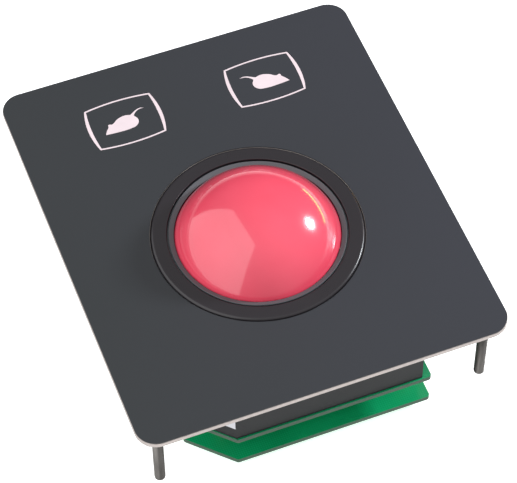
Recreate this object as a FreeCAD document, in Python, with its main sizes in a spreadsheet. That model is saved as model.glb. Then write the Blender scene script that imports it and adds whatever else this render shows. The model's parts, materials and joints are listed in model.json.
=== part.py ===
"""Panel-mounted trackball with two flat mouse keys, as a parametric FreeCAD document.

Frame, in millimetres: the origin is the centre of the four mounting studs on the panel's
underside, +X runs to the right, +Y away from the user towards the keys, and +Z out of the panel.
"""

import FreeCAD
import Part
import Sketcher
import math
import os

V = FreeCAD.Vector
UP = V(0, 0, 1)
UPRIGHT = FreeCAD.Rotation()
ALONG_X = FreeCAD.Rotation(V(0, 1, 0), 90)
ALONG_Y = FreeCAD.Rotation(V(1, 0, 0), -90)

doc = FreeCAD.newDocument("panel_trackball")

# ---------------------------------------------------------------- driving dimensions

DRIVING = [
    ("panel_width", 105, "front panel, left to right"),
    ("panel_length", 124, "front panel, front to back"),
    ("panel_corner", 6, "corner radius of the panel"),
    ("plate_thickness", 1.5, "aluminium plate"),
    ("foil_thickness", 0.3, "printed polyester foil on the plate"),
    ("foil_inset", 0.12, "foil edge inside the plate edge"),
    ("plate_hole", 29.45, "radius of the round hole in the plate"),
    ("foil_hole", 29.6, "radius of the round hole in the foil"),
    ("stud_inset", 6, "mounting studs in from the panel's edges"),
    ("stud_radius", 1.5, "M3 mounting stud"),
    ("stud_length", 25, "mounting stud below the plate"),
    ("stud_tip", 0.6, "height of the stud's rounded tip"),
    ("gasket_inset", 1.3, "panel gasket in from the plate's edge"),
    ("gasket_width", 2.0, "panel gasket, width of the strip"),
    ("gasket_thickness", 1.0, "panel gasket and housing seal"),
    ("gasket_corner", 2.6, "corner radius of the gasket strip"),
    ("key_spread", 21.1, "each key from the panel's middle line"),
    ("key_row", 41.5, "key centres behind the origin"),
    ("key_half_width", 9.75, "key corner from its centre, sideways"),
    ("key_half_depth", 7.35, "key corner from its centre, front to back"),
    ("key_bow", 0.8, "outward bow of a key's long edges"),
    ("key_bulge", 1.15, "outward bow of a key's short edges"),
    ("key_gap", 0.06, "slit round a key"),
    ("plunger_radius", 1.5, "nub under a key"),
    ("plunger_height", 0.3, "nub under a key"),
    ("recess_half_width", 34.5, "recess in the plate for the key layers"),
    ("recess_front", 31.7, "front edge of that recess"),
    ("recess_back", 51.3, "back edge of that recess"),
    ("recess_depth", 1.0, "depth of that recess"),
    ("layer_gap", 0.1, "key layers inside the recess"),
    ("circuit_thickness", 0.2, "membrane circuit and ribbon"),
    ("window_width", 24, "window in the spacer round a key"),
    ("window_depth", 18.4, "window in the spacer round a key"),
    ("dome_radius", 5.5, "metal snap dome"),
    ("dome_height", 0.4, "metal snap dome"),
    ("dome_sheet", 0.1, "metal snap dome's sheet"),
    ("ribbon_width", 12, "flat ribbon from the keys to the board"),
    ("ribbon_row", 38, "ribbon behind the origin"),
    ("ribbon_bend", 1.4, "inner radius of the ribbon's bend"),
    ("ribbon_rise", 1.4, "ribbon above the lower board"),
    ("ribbon_end", 31.5, "the ribbon's end inside its socket"),
    ("slot_half_width", 6.6, "slot in the plate for the ribbon"),
    ("slot_half_depth", 0.9, "slot in the plate for the ribbon"),
    ("ball_radius", 25, "ball"),
    ("ball_row", -8.2, "ball centre, front to back"),
    ("ball_level", -9.1, "ball centre, up and down"),
    ("ring_radius", 29.25, "retaining ring"),
    ("ring_top", 2.25, "top face of the retaining ring"),
    ("ring_edge", 0.85, "rounding of the ring's outer top edge"),
    ("ring_bore", 24.9, "ring's bore above and below its ledge"),
    ("ring_ledge", 23.9, "ledge that holds the ball down"),
    ("ledge_top", 0.55, "top of the ledge"),
    ("ledge_foot", -0.6, "foot of the ledge"),
    ("ledge_taper", -1.6, "where the taper below the ledge ends"),
    ("ring_foot", -4.0, "foot of the ring"),
    ("lug_radius", 31.0, "bayonet lugs on the ring"),
    ("lug_top", -2.5, "top of the lugs"),
    ("lug_angle", 30, "width of a lug in degrees"),
    ("oring_groove", 28.3, "floor of the groove for the O-ring"),
    ("oring_level", 0.75, "level of the O-ring"),
    ("oring_half_gap", 0.6, "half the groove's height"),
    ("oring_section", 0.5, "section radius of the O-ring"),
    ("oring_radius", 28.85, "centre line of the O-ring"),
    ("lip_outer", 24.85, "outside of the wiper seal"),
    ("lip_inner", 22.95, "lip of the wiper seal"),
    ("lip_level", 1.5, "level of the lip's edge"),
    ("case_left", -34.2, "housing, left face"),
    ("case_right", 31.7, "housing, right face"),
    ("case_front", -51.5, "housing, front face"),
    ("case_back", 35.1, "housing, back face"),
    ("case_chamfer", 11.3, "cut-off front left corner of the housing"),
    ("case_wall", 1.5, "housing wall"),
    ("case_top", -1.0, "top face of the housing"),
    ("case_ceiling", -4.0, "underside of the housing's top wall"),
    ("case_foot", -26.6, "lower edge of the housing, on the upper board"),
    ("collar_radius", 34.0, "round collar at the top of the housing"),
    ("collar_bore", 31.3, "opening for the retaining ring"),
    ("tab_bore", 29.5, "inside of the bayonet tabs"),
    ("tab_foot", -2.4, "underside of the bayonet tabs"),
    ("tab_angle", 50, "width of a tab in degrees"),
    ("seal_bore", 30.2, "bore of the housing seal"),
    ("seal_radius", 33.8, "outside of the housing seal"),
    ("boss_radius", 2.8, "screw boss inside the housing"),
    ("boss_bore", 1.28, "pilot hole of a boss"),
    ("boss_depth", 8.6, "depth of the pilot hole"),
    ("fixing_radius", 1.25, "M2.5 studs and screws"),
    ("fixing_length", 9, "stud between plate and housing"),
    ("washer_radius", 3, "M2.5 washer"),
    ("washer_thickness", 0.5, "M2.5 washer"),
    ("nut_corner", 2.887, "M2.5 nut, centre to corner"),
    ("nut_height", 2, "M2.5 nut"),
    ("clearance_bore", 1.4, "clearance hole for M2.5"),
    ("label_width", 14, "blank label on the housing"),
    ("label_top", -7.7, "upper edge of the label"),
    ("label_foot", -21.7, "lower edge of the label"),
    ("label_thickness", 0.12, "label"),
    ("label_margin", 0.3, "label from the housing's front corner"),
    ("cup_inner", 25.6, "inside of the ball cup"),
    ("cup_outer", 27.2, "outside of the ball cup"),
    ("cup_rim", -4.3, "rim of the ball cup"),
    ("cup_plate", -25.0, "top of the cup's base plate"),
    ("cup_drain", 3, "drain hole under the ball"),
    ("cup_margin", 0.3, "base plate inside the housing walls"),
    ("boss_margin", 1.0, "base plate round the housing's bosses"),
    ("shaft_radius", 1.5, "roller shafts"),
    ("roller_radius", 3, "rollers that the ball turns"),
    ("roller_length", 14, "those rollers"),
    ("roller_end_gap", 1.0, "cup's window past each end of a roller"),
    ("roller_gap", 0.7, "cup's window above and below a roller"),
    ("roller_window", 8, "cup's window in front of and behind a roller"),
    ("roller_dip", 18, "rollers below the ball's middle in degrees"),
    ("running_gap", 0.1, "between ball and rollers"),
    ("shaft_start", -18, "shaft end before the ball centre"),
    ("shaft_end", 26, "shaft end past the ball centre"),
    ("bearing_radius", 4, "3 x 8 x 3 ball bearing"),
    ("bearing_width", 3, "3 x 8 x 3 ball bearing"),
    ("race_split", 2.3, "bore of the outer race"),
    ("race_inner", 2.25, "outside of the inner race"),
    ("near_bearing", -17, "bearing before the ball centre"),
    ("far_bearing", 22, "bearing past the ball centre"),
    ("post_width", 11, "bearing post, across the shaft"),
    ("post_thickness", 3.4, "bearing post, along the shaft"),
    ("post_top", -12.6, "top of the bearing caps"),
    ("post_bore", 4.02, "seat of a bearing"),
    ("post_passage", 3.4, "passage beside the seat"),
    ("disc_radius", 5.5, "encoder disc"),
    ("disc_place", 18.1, "encoder disc along its shaft"),
    ("disc_thickness", 0.8, "encoder disc"),
    ("disc_hub", 2.4, "hub of the encoder disc"),
    ("hub_length", 1.6, "hub of the encoder disc"),
    ("slot_count", 24, "slots in an encoder disc"),
    ("slot_inner", 3.5, "slots of the disc, inner radius"),
    ("slot_outer", 5.0, "slots of the disc, outer radius"),
    ("slot_width", 0.45, "slots of the disc"),
    ("fork_start", 15.4, "sensor fork along the shaft"),
    ("fork_end", 21.6, "sensor fork along the shaft"),
    ("fork_width", 4.6, "sensor fork across the shaft"),
    ("fork_top", -20.5, "top of the sensor fork"),
    ("fork_floor", -24.0, "floor of the fork's slot"),
    ("fork_slot", 1.6, "width of the fork's slot"),
    ("idler_reach", 27.7, "idler axis from the ball's upright axis"),
    ("idler_level", -18.1, "level of the idler axis"),
    ("idler_radius", 4, "idler roller"),
    ("idler_width", 3, "idler roller"),
    ("idler_bore", 1.05, "bore of the idler roller"),
    ("cheek_gap", 0.25, "between the idler roller and each cheek of its arm"),
    ("idler_pin_radius", 1.0, "pin of the idler roller"),
    ("arm_length", 12, "idler arm, pivot to roller"),
    ("pivot_radius", 1.25, "pivot pin of the idler arm"),
    ("pivot_boss", 2.6, "boss round the pivot pin"),
    ("pivot_gap", 0.05, "running clearance on the pivot pin"),
    ("board_left", -34.4, "circuit boards, left edge"),
    ("board_right", 34.4, "circuit boards, right edge"),
    ("board_front", -52.0, "circuit boards, front edge"),
    ("board_back", 35.6, "circuit boards, back edge"),
    ("board_chamfer", 11.6, "cut-off front left corner of the boards"),
    ("board_corner", 1.0, "corner radius of the boards"),
    ("board_thickness", 1.6, "circuit boards"),
    ("board_gap", 8.6, "between the boards"),
    ("board_hole", 21.3, "hole in the upper board for the cup"),
    ("board_bore", 1.45, "screw holes in the boards"),
    ("head_radius", 2.4, "M2.5 pan head"),
    ("head_height", 2.0, "M2.5 pan head"),
    ("screw_length", 20, "M2.5 board screws"),
    ("small_screw", 0.95, "M2 screw under the cup"),
    ("small_head", 1.9, "M2 pan head"),
    ("small_head_height", 1.3, "M2 pan head"),
    ("small_boss", 2.2, "boss for an M2 screw"),
    ("small_boss_top", -21.5, "top of that boss"),
    ("small_screw_top", -22.5, "end of that screw"),
    ("can_radius", 2.5, "electrolytic capacitors"),
    ("can_height", 7, "electrolytic capacitors"),
    ("resistor_first", -12, "left end of the row of chip resistors"),
    ("resistor_pitch", 3.2, "chip resistors, one to the next"),
    ("resistor_width", 1.25, "chip resistors"),
    ("resistor_height", 0.5, "chip resistors"),
    ("mouth_gap", 0.05, "ribbon socket above and below the ribbon"),
    ("first_pin", 2.5, "first host pin from the shroud's left end"),
    ("pin_pitch", 2.5, "host pins, one to the next"),
    ("pin_width", 0.64, "host pins"),
    ("pin_inset", 1.0, "tips of the host pins inside the shroud"),
]


class Size:
    """A length that knows its present value and the spreadsheet expression that gives it."""

    def __init__(self, value, text=None):
        self.value = float(value)
        self.text = text or f"({self.value:g})"

    def joined(self, other, sign, value):
        return Size(value, f"({self.text} {sign} {other.text})")

    def __add__(self, other):
        other = size(other)
        return self.joined(other, "+", self.value + other.value)

    def __sub__(self, other):
        other = size(other)
        return self.joined(other, "-", self.value - other.value)

    def __mul__(self, other):
        other = size(other)
        return self.joined(other, "*", self.value * other.value)

    def __truediv__(self, other):
        other = size(other)
        return self.joined(other, "/", self.value / other.value)

    def __radd__(self, other):
        return size(other) + self

    def __rsub__(self, other):
        return size(other) - self

    def __rmul__(self, other):
        return size(other) * self

    def __neg__(self):
        return size(0) - self


def size(amount):
    """Any number as a Size."""
    return amount if isinstance(amount, Size) else Size(amount)


class Dimensions:
    """The spreadsheet's cells, each as a Size under its alias."""


def fill_sheet():
    sheet = doc.addObject("Spreadsheet::Sheet", "dims")
    cells = Dimensions()
    for row, (alias, value, meaning) in enumerate(DRIVING, start=1):
        sheet.set(f"A{row}", meaning)
        sheet.set(f"B{row}", str(value))
        sheet.setAlias(f"B{row}", alias)
        setattr(cells, alias, Size(value, f"dims.{alias}"))
    doc.recompute()
    return cells


D = fill_sheet()


# ---------------------------------------------------------------- small tools

nodes = []


def bind(thing, path, amount):
    """Tie one property of an object to the spreadsheet."""
    thing.setExpression(path, size(amount).text)


def node(thing, label):
    """Name a finished sub-part and keep it for export."""
    thing.Label = label
    nodes.append(thing)
    return thing


def place(thing, at, rotation=UPRIGHT):
    thing.Placement = FreeCAD.Placement(V(*[size(p).value for p in at]), rotation)
    for axis, amount in zip("xyz", at):
        bind(thing, f"Placement.Base.{axis}", amount)
    return thing


def block(name, low, high, rotation=UPRIGHT, corner=None):
    """A box between two corners; a turned one stands on its own lowest corner."""
    thing = doc.addObject("Part::Box", name)
    for prop, a, b in zip(("Length", "Width", "Height"), low, high):
        bind(thing, prop, size(b) - a)
    return place(thing, corner or low, rotation)


def rod(name, radius, start, length, rotation=UPRIGHT):
    """A cylinder from its start point, along Z unless it is turned."""
    thing = doc.addObject("Part::Cylinder", name)
    bind(thing, "Radius", radius)
    bind(thing, "Height", length)
    return place(thing, start, rotation)


def ball_at(name, radius, centre):
    thing = doc.addObject("Part::Sphere", name)
    bind(thing, "Radius", radius)
    return place(thing, centre)


def fused(name, pieces):
    thing = doc.addObject("Part::MultiFuse", name)
    thing.Shapes = list(pieces)
    return thing


def group(name, pieces):
    """Identical separate solids that share one node."""
    thing = doc.addObject("Part::Compound", name)
    thing.Links = list(pieces)
    return thing


def cut(name, base, *tools):
    thing = doc.addObject("Part::Cut", name)
    thing.Base = base
    thing.Tool = tools[0] if len(tools) == 1 else fused(name + "_tools", tools)
    return thing


def common(name, base, tool):
    thing = doc.addObject("Part::Common", name)
    thing.Base = base
    thing.Tool = tool
    return thing


def tube(name, outer, bore, start, length, rotation=UPRIGHT):
    return cut(
        name,
        rod(name + "_outside", outer, start, length, rotation),
        rod(name + "_bore", bore, start, length, rotation),
    )


def body(label):
    return node(doc.addObject("PartDesign::Body", label), label)


def origin_of(owner, role):
    return next(f for f in owner.Origin.OriginFeatures if f.Role == role)


def sketch(owner, name, offset=0, plane="XY_Plane"):
    """A sketch on one of the body's planes, moved along that plane's normal."""
    s = owner.newObject("Sketcher::SketchObject", name)
    s.AttachmentSupport = [(origin_of(owner, plane), "")]
    s.MapMode = "FlatFace"
    bind(s, "AttachmentOffset.Base.z", offset)
    return s


def fix_point(s, geometry, end, x, y):
    for kind, amount in (("DistanceX", x), ("DistanceY", y)):
        amount = size(amount)
        index = s.addConstraint(Sketcher.Constraint(kind, geometry, end, amount.value))
        bind(s, f"Constraints[{index}]", amount)


def fix_radius(s, geometry, radius):
    index = s.addConstraint(Sketcher.Constraint("Radius", geometry, size(radius).value))
    bind(s, f"Constraints[{index}]", radius)


def close_loop(s, first, count):
    """Join the end of each edge to the start of the next."""
    for i in range(count):
        follower = first + (i + 1) % count
        s.addConstraint(Sketcher.Constraint("Coincident", first + i, 2, follower, 1))


def polygon(s, points):
    first = s.GeometryCount
    corners = [V(size(x).value, size(y).value, 0) for x, y in points]
    for i, corner in enumerate(corners):
        s.addGeometry(Part.LineSegment(corner, corners[(i + 1) % len(corners)]), False)
    close_loop(s, first, len(points))
    for i, (x, y) in enumerate(points):
        fix_point(s, first + i, 1, x, y)


def rectangle(s, low, high):
    polygon(s, [low, (high[0], low[1]), high, (low[0], high[1])])


def circle(s, x, y, radius):
    centre = V(size(x).value, size(y).value, 0)
    index = s.addGeometry(Part.Circle(centre, UP, size(radius).value), False)
    fix_point(s, index, 3, x, y)
    fix_radius(s, index, radius)


def feature(owner, kind, name, profile):
    f = owner.newObject("PartDesign::" + kind, name)
    f.Profile = profile
    profile.Visibility = False
    return f


def pad(owner, name, profile, length):
    f = feature(owner, "Pad", name, profile)
    bind(f, "Length", length)
    return f


def pocket(owner, name, profile, depth):
    f = feature(owner, "Pocket", name, profile)
    bind(f, "Length", depth)
    return f


def revolve(owner, name, profile, angle=None):
    f = feature(owner, "Revolution", name, profile)
    f.ReferenceAxis = (profile, ["V_Axis"])
    if angle is None:
        f.Angle = 360
    else:
        f.Midplane = True
        bind(f, "Angle", angle)
    return f


def repeat_round(owner, name, original, count):
    f = owner.newObject("PartDesign::PolarPattern", name)
    f.Originals = [original]
    f.Axis = (origin_of(owner, "Z_Axis"), [""])
    f.Angle = 360
    bind(f, "Occurrences", count)
    owner.Tip = f
    return f


def edges_where(shape, test):
    return [f"Edge{i}" for i, e in enumerate(shape.Edges, start=1) if test(e)]


def upright(edge):
    first, last = edge.Vertexes[0].Point, edge.Vertexes[-1].Point
    straight = isinstance(edge.Curve, Part.Line)
    return straight and abs(abs((last - first).normalize().z) - 1) < 1e-6


def round_edges(owner, name, radius, test):
    doc.recompute()
    base = owner.Tip
    f = owner.newObject("PartDesign::Fillet", name)
    f.Base = (base, edges_where(base.Shape, test))
    bind(f, "Radius", radius)
    owner.Tip = f
    return f


# ---------------------------------------------------------------- places used by several parts

half_width = D.panel_width / 2
half_length = D.panel_length / 2
face = D.plate_thickness + D.foil_thickness
ball_centre = (0, D.ball_row, D.ball_level)
board_top = D.case_foot
upper_under = board_top - D.board_thickness
lower_top = upper_under - D.board_gap
lower_under = lower_top - D.board_thickness
recess_floor = D.plate_thickness - D.recess_depth
circuit_top = recess_floor + D.circuit_thickness
SIDES = (("left", -1), ("right", 1))
STUD_CORNERS = [(x, y) for x in (-1, 1) for y in (-1, 1)]
# board screws and the housing's own fixings, all inside the housing
BOARD_SCREWS = [(28.2, -43.0), (27.5, 31.0), (-30.1, 31.2), (-22.5, -39.5)]
CASE_FIXINGS = [(20.0, 29.5), (-20.0, 29.5), (20.0, -46.0), (-18.0, -46.0)]
DIAGONAL = 1 / math.sqrt(2)
CUP_SCREW_RADIUS = 26.0
CUP_SCREWS = [
    (
        CUP_SCREW_RADIUS * math.cos(math.radians(angle)),
        D.ball_row + CUP_SCREW_RADIUS * math.sin(math.radians(angle)),
    )
    for angle in (340, 105, 225)
]


def cornered(left, front, right, back, chamfer):
    """A rectangle whose front left corner is cut off at 45 degrees."""
    return [
        (left + chamfer, front),
        (right, front),
        (right, back),
        (left, back),
        (left, front + chamfer),
    ]


# ---------------------------------------------------------------- front panel


def make_front_plate():
    """Aluminium plate with the ball hole, the recess for the key layers and the ribbon slot."""
    plate = body("front_plate")
    outline = sketch(plate, "plate_outline")
    rectangle(outline, (-half_width, -half_length), (half_width, half_length))
    pad(plate, "plate_sheet", outline, D.plate_thickness)
    round_edges(plate, "plate_corners", D.panel_corner, upright)
    hole = sketch(plate, "plate_hole_outline", D.plate_thickness)
    circle(hole, 0, D.ball_row, D.plate_hole)
    pocket(plate, "plate_round_hole", hole, D.plate_thickness)
    recess = sketch(plate, "plate_recess_outline", D.plate_thickness)
    rectangle(
        recess,
        (-D.recess_half_width, D.recess_front),
        (D.recess_half_width, D.recess_back),
    )
    pocket(plate, "plate_recess", recess, D.recess_depth)
    slot = sketch(plate, "plate_slot_outline", D.plate_thickness)
    rectangle(
        slot,
        (-D.slot_half_width, D.ribbon_row - D.slot_half_depth),
        (D.slot_half_width, D.ribbon_row + D.slot_half_depth),
    )
    pocket(plate, "plate_slot", slot, D.plate_thickness)


def key_outline(s, x, y, grow):
    """A key's outline: four gentle arcs that bow outwards between its corners."""
    first = s.GeometryCount
    across = D.key_half_width + grow
    deep = D.key_half_depth + grow
    long_radius = (across * across + D.key_bow * D.key_bow) / (2 * D.key_bow)
    short_radius = (deep * deep + D.key_bulge * D.key_bulge) / (2 * D.key_bulge)
    long_angle = math.asin(across.value / long_radius.value)
    short_angle = math.asin(deep.value / short_radius.value)
    corners = [(1, 1), (-1, 1), (-1, -1), (1, -1)]
    for turn in range(4):
        radius, half_angle = (
            (long_radius, long_angle) if turn % 2 == 0 else (short_radius, short_angle)
        )
        middle = math.radians(90 * (turn + 1))
        reach = (
            (deep + D.key_bow - radius)
            if turn % 2 == 0
            else (across + D.key_bulge - radius)
        )
        centre = V(
            size(x).value + reach.value * math.cos(middle),
            size(y).value + reach.value * math.sin(middle),
            0,
        )
        arc = Part.ArcOfCircle(
            Part.Circle(centre, UP, radius.value), middle - half_angle, middle + half_angle
        )
        s.addGeometry(arc, False)
        fix_radius(s, first + turn, radius)
    close_loop(s, first, 4)
    for turn, (side, end) in enumerate(corners):
        fix_point(s, first + turn, 1, x + side * across, y + end * deep)


def make_overlay_foil():
    """Dark printed foil over the whole plate, with a slit round each key."""
    foil = body("overlay_foil")
    outline = sketch(foil, "foil_outline", D.plate_thickness)
    rectangle(
        outline,
        (D.foil_inset - half_width, D.foil_inset - half_length),
        (half_width - D.foil_inset, half_length - D.foil_inset),
    )
    pad(foil, "foil_sheet", outline, D.foil_thickness)
    round_edges(foil, "foil_corners", D.panel_corner - D.foil_inset, upright)
    openings = sketch(foil, "foil_openings", face)
    circle(openings, 0, D.ball_row, D.foil_hole)
    for _, side in SIDES:
        key_outline(openings, side * D.key_spread, D.key_row, D.key_gap)
    pocket(foil, "foil_cut_outs", openings, D.foil_thickness)


def make_keys():
    """The part of the foil inside each printed frame, which gives when it is pressed."""
    for name, side in SIDES:
        key = body(f"{name}_key")
        outline = sketch(key, f"{name}_key_outline", D.plate_thickness)
        key_outline(outline, side * D.key_spread, D.key_row, size(0))
        pad(key, f"{name}_key_face", outline, D.foil_thickness)
        nub = sketch(key, f"{name}_key_nub", D.plate_thickness - D.plunger_height)
        circle(nub, side * D.key_spread, D.key_row, D.plunger_radius)
        pad(key, f"{name}_key_plunger", nub, D.plunger_height)


def make_key_layers():
    """Membrane circuit, spacer and two metal snap domes in the plate's recess."""
    low = (D.layer_gap - D.recess_half_width, D.recess_front + D.layer_gap)
    high = (D.recess_half_width - D.layer_gap, D.recess_back - D.layer_gap)
    membrane = body("key_membrane")
    outline = sketch(membrane, "membrane_outline", recess_floor)
    rectangle(outline, low, high)
    pad(membrane, "membrane_sheet", outline, D.circuit_thickness)

    spacer = body("key_spacer")
    outline = sketch(spacer, "spacer_outline", circuit_top)
    rectangle(outline, low, high)
    height = D.recess_depth - D.circuit_thickness
    pad(spacer, "spacer_sheet", outline, height)
    windows = sketch(spacer, "spacer_windows", D.plate_thickness)
    for _, side in SIDES:
        x = side * D.key_spread
        rectangle(
            windows,
            (x - D.window_width / 2, D.key_row - D.window_depth / 2),
            (x + D.window_width / 2, D.key_row + D.window_depth / 2),
        )
    pocket(spacer, "spacer_cut_outs", windows, height)

    crown = D.dome_height
    curve = (D.dome_radius * D.dome_radius + crown * crown) / (2 * crown)
    for name, side in SIDES:
        centre = (side * D.key_spread, D.key_row, circuit_top + crown - curve)
        shell = cut(
            f"{name}_dome_shell",
            ball_at(f"{name}_dome_outside", curve, centre),
            ball_at(f"{name}_dome_inside", curve - D.dome_sheet, centre),
        )
        disc = rod(
            f"{name}_dome_edge",
            D.dome_radius,
            (side * D.key_spread, D.key_row, circuit_top),
            1,
        )
        node(common(f"{name}_dome_cap", shell, disc), f"{name}_dome")


def make_key_ribbon():
    """Flat ribbon from the membrane down behind the housing to the lower board."""
    ribbon = body("key_ribbon")
    profile = sketch(ribbon, "ribbon_profile", -D.ribbon_width / 2, "YZ_Plane")
    half = D.circuit_thickness / 2
    level = lower_top + D.ribbon_rise
    polygon(
        profile,
        [
            (D.ribbon_end, level - half),
            (D.ribbon_row + half, level - half),
            (D.ribbon_row + half, recess_floor),
            (D.ribbon_row - half, recess_floor),
            (D.ribbon_row - half, level + half),
            (D.ribbon_end, level + half),
        ],
    )
    pad(ribbon, "ribbon_strip", profile, D.ribbon_width)

    def bend_at(edge, row):
        a, b = edge.Vertexes[0].Point, edge.Vertexes[-1].Point
        across = abs(a.y - b.y) < 1e-6 and abs(a.z - b.z) < 1e-6
        return across and abs(a.y - row) < 1e-3 and a.z < -20

    outside, inside = (D.ribbon_row + half).value, (D.ribbon_row - half).value
    bend = D.ribbon_bend + D.circuit_thickness
    round_edges(ribbon, "ribbon_outer_bend", bend, lambda e: bend_at(e, outside))
    round_edges(ribbon, "ribbon_inner_bend", D.ribbon_bend, lambda e: bend_at(e, inside))


def make_mounting_studs():
    """Four M3 studs, clinched into the plate, that bolt the module into its panel cut-out."""
    studs = []
    for i, (right, back) in enumerate(STUD_CORNERS):
        x = right * (half_width - D.stud_inset)
        y = back * (half_length - D.stud_inset)
        tip = doc.addObject("Part::Cone", f"stud_tip_{i}")
        bind(tip, "Radius1", D.stud_radius - D.stud_tip)
        bind(tip, "Radius2", D.stud_radius)
        bind(tip, "Height", D.stud_tip)
        place(tip, (x, y, -D.stud_length))
        shank_start = (x, y, D.stud_tip - D.stud_length)
        shank = rod(f"stud_shank_{i}", D.stud_radius, shank_start, D.stud_length - D.stud_tip)
        studs.append(fused(f"stud_{i}", [tip, shank]))
    node(group("stud_group", studs), "mounting_studs")


def make_panel_gasket():
    """Foam strip that seals the panel to whatever it is bolted into."""
    gasket = body("panel_gasket")
    outline = sketch(gasket, "gasket_outline", -D.gasket_thickness)
    x, y = half_width - D.gasket_inset, half_length - D.gasket_inset
    rectangle(outline, (-x, -y), (x, y))
    pad(gasket, "gasket_sheet", outline, D.gasket_thickness)
    middle = sketch(gasket, "gasket_middle")
    x, y = x - D.gasket_width, y - D.gasket_width
    rectangle(middle, (-x, -y), (x, y))
    pocket(gasket, "gasket_opening", middle, D.gasket_thickness)
    round_edges(gasket, "gasket_corners", D.gasket_corner, upright)


# ---------------------------------------------------------------- ball and retaining ring


def make_ball():
    node(ball_at("ball_sphere", D.ball_radius, ball_centre), "ball")


def make_retaining_ring():
    """Bayonet ring that holds the ball in; it turns about the ball's upright axis."""
    ring = body("retaining_ring")
    bind(ring, "Placement.Base.y", D.ball_row)
    profile = sketch(ring, "ring_profile", plane="XZ_Plane")
    polygon(
        profile,
        [
            (D.ring_bore, D.ring_top),
            (D.ring_bore, D.ledge_top),
            (D.ring_ledge, D.ledge_top),
            (D.ring_ledge, D.ledge_foot),
            (D.ring_bore, D.ledge_taper),
            (D.ring_bore, D.ring_foot),
            (D.ring_radius, D.ring_foot),
            (D.ring_radius, D.oring_level - D.oring_half_gap),
            (D.oring_groove, D.oring_level - D.oring_half_gap),
            (D.oring_groove, D.oring_level + D.oring_half_gap),
            (D.ring_radius, D.oring_level + D.oring_half_gap),
            (D.ring_radius, D.ring_top),
        ],
    )
    revolve(ring, "ring_turning", profile)
    lug = sketch(ring, "ring_lug_profile", plane="XZ_Plane")
    rectangle(
        lug,
        (D.ring_bore + 1, D.ring_foot),
        (D.lug_radius, D.lug_top),
    )
    first = revolve(ring, "ring_lug", lug, D.lug_angle)
    repeat_round(ring, "ring_lugs", first, 3)

    def top_outer(edge):
        round_edge = isinstance(edge.Curve, Part.Circle)
        at_top = abs(edge.BoundBox.ZMax - D.ring_top.value) < 1e-4 and edge.BoundBox.ZLength < 1e-4
        return round_edge and at_top and abs(edge.Curve.Radius - D.ring_radius.value) < 1e-4

    round_edges(ring, "ring_top_edge", D.ring_edge, top_outer)


def make_wiper_seal():
    """Grey lip that wipes the ball and closes the gap between ball and ring."""
    seal = body("wiper_seal")
    bind(seal, "Placement.Base.y", D.ball_row)
    profile = sketch(seal, "seal_profile", plane="XZ_Plane")
    foot = D.ledge_top + D.pivot_gap
    polygon(
        profile,
        [
            (D.lip_outer, D.ring_top),
            (D.lip_inner, D.lip_level),
            (D.lip_inner + 0.2, D.lip_level - 0.4),
            (D.ring_ledge + 0.1, foot),
            (D.lip_outer, foot),
        ],
    )
    revolve(seal, "seal_turning", profile)


def make_ring_oring():
    oring = doc.addObject("Part::Torus", "oring_torus")
    bind(oring, "Radius1", D.oring_radius)
    bind(oring, "Radius2", D.oring_section)
    place(oring, (0, D.ball_row, D.oring_level))
    node(oring, "ring_o_ring")


# ---------------------------------------------------------------- housing


def make_housing():
    """Moulded box with a round bayonet collar, four screw bosses and an open underside."""
    case = body("trackball_housing")
    outer = sketch(case, "case_outline", D.case_foot)
    polygon(
        outer,
        cornered(D.case_left, D.case_front, D.case_right, D.case_back, D.case_chamfer),
    )
    pad(case, "case_block", outer, D.case_top - D.case_foot)
    collar = sketch(case, "case_collar_outline", D.case_ceiling)
    circle(collar, 0, D.ball_row, D.collar_radius)
    pad(case, "case_collar", collar, D.case_top - D.case_ceiling)
    inner = sketch(case, "case_inside_outline", D.case_ceiling)
    wall = D.case_wall
    # the chamfered wall keeps its thickness: its inner corners move by wall * (2 - sqrt 2)
    inner_chamfer = D.case_chamfer - wall * (2 - math.sqrt(2))
    polygon(
        inner,
        cornered(
            D.case_left + wall,
            D.case_front + wall,
            D.case_right - wall,
            D.case_back - wall,
            inner_chamfer,
        ),
    )
    pocket(case, "case_inside", inner, D.case_ceiling - D.case_foot)
    bosses = sketch(case, "case_boss_outline", D.case_foot)
    for x, y in BOARD_SCREWS:
        circle(bosses, x, y, D.boss_radius)
    pad(case, "case_bosses", bosses, D.case_ceiling - D.case_foot)
    pilots = sketch(case, "case_pilot_outline", D.case_foot + D.boss_depth)
    for x, y in BOARD_SCREWS:
        circle(pilots, x, y, D.boss_bore)
    pocket(case, "case_pilot_holes", pilots, D.boss_depth)
    openings = sketch(case, "case_top_openings", D.case_top)
    circle(openings, 0, D.ball_row, D.collar_bore)
    for x, y in CASE_FIXINGS:
        circle(openings, x, y, D.clearance_bore)
    pocket(case, "case_top_holes", openings, D.case_top - D.case_ceiling)
    return case


def make_bayonet_tabs():
    """Three tabs in the collar, which the ring's lugs turn under, as part of the housing."""
    tabs = doc.addObject("PartDesign::Body", "bayonet_tabs")
    bind(tabs, "Placement.Base.y", D.ball_row)
    profile = sketch(tabs, "tab_profile", plane="XZ_Plane")
    rectangle(profile, (D.tab_bore, D.tab_foot), (D.collar_bore + 0.5, D.case_top))
    first = revolve(tabs, "tab_segment", profile, D.tab_angle)
    repeat_round(tabs, "tab_segments", first, 3)
    return tabs


def make_seals():
    node(
        tube(
            "housing_seal_ring",
            D.seal_radius,
            D.seal_bore,
            (0, D.ball_row, -D.gasket_thickness),
            D.gasket_thickness,
        ),
        "housing_seal",
    )


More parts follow.
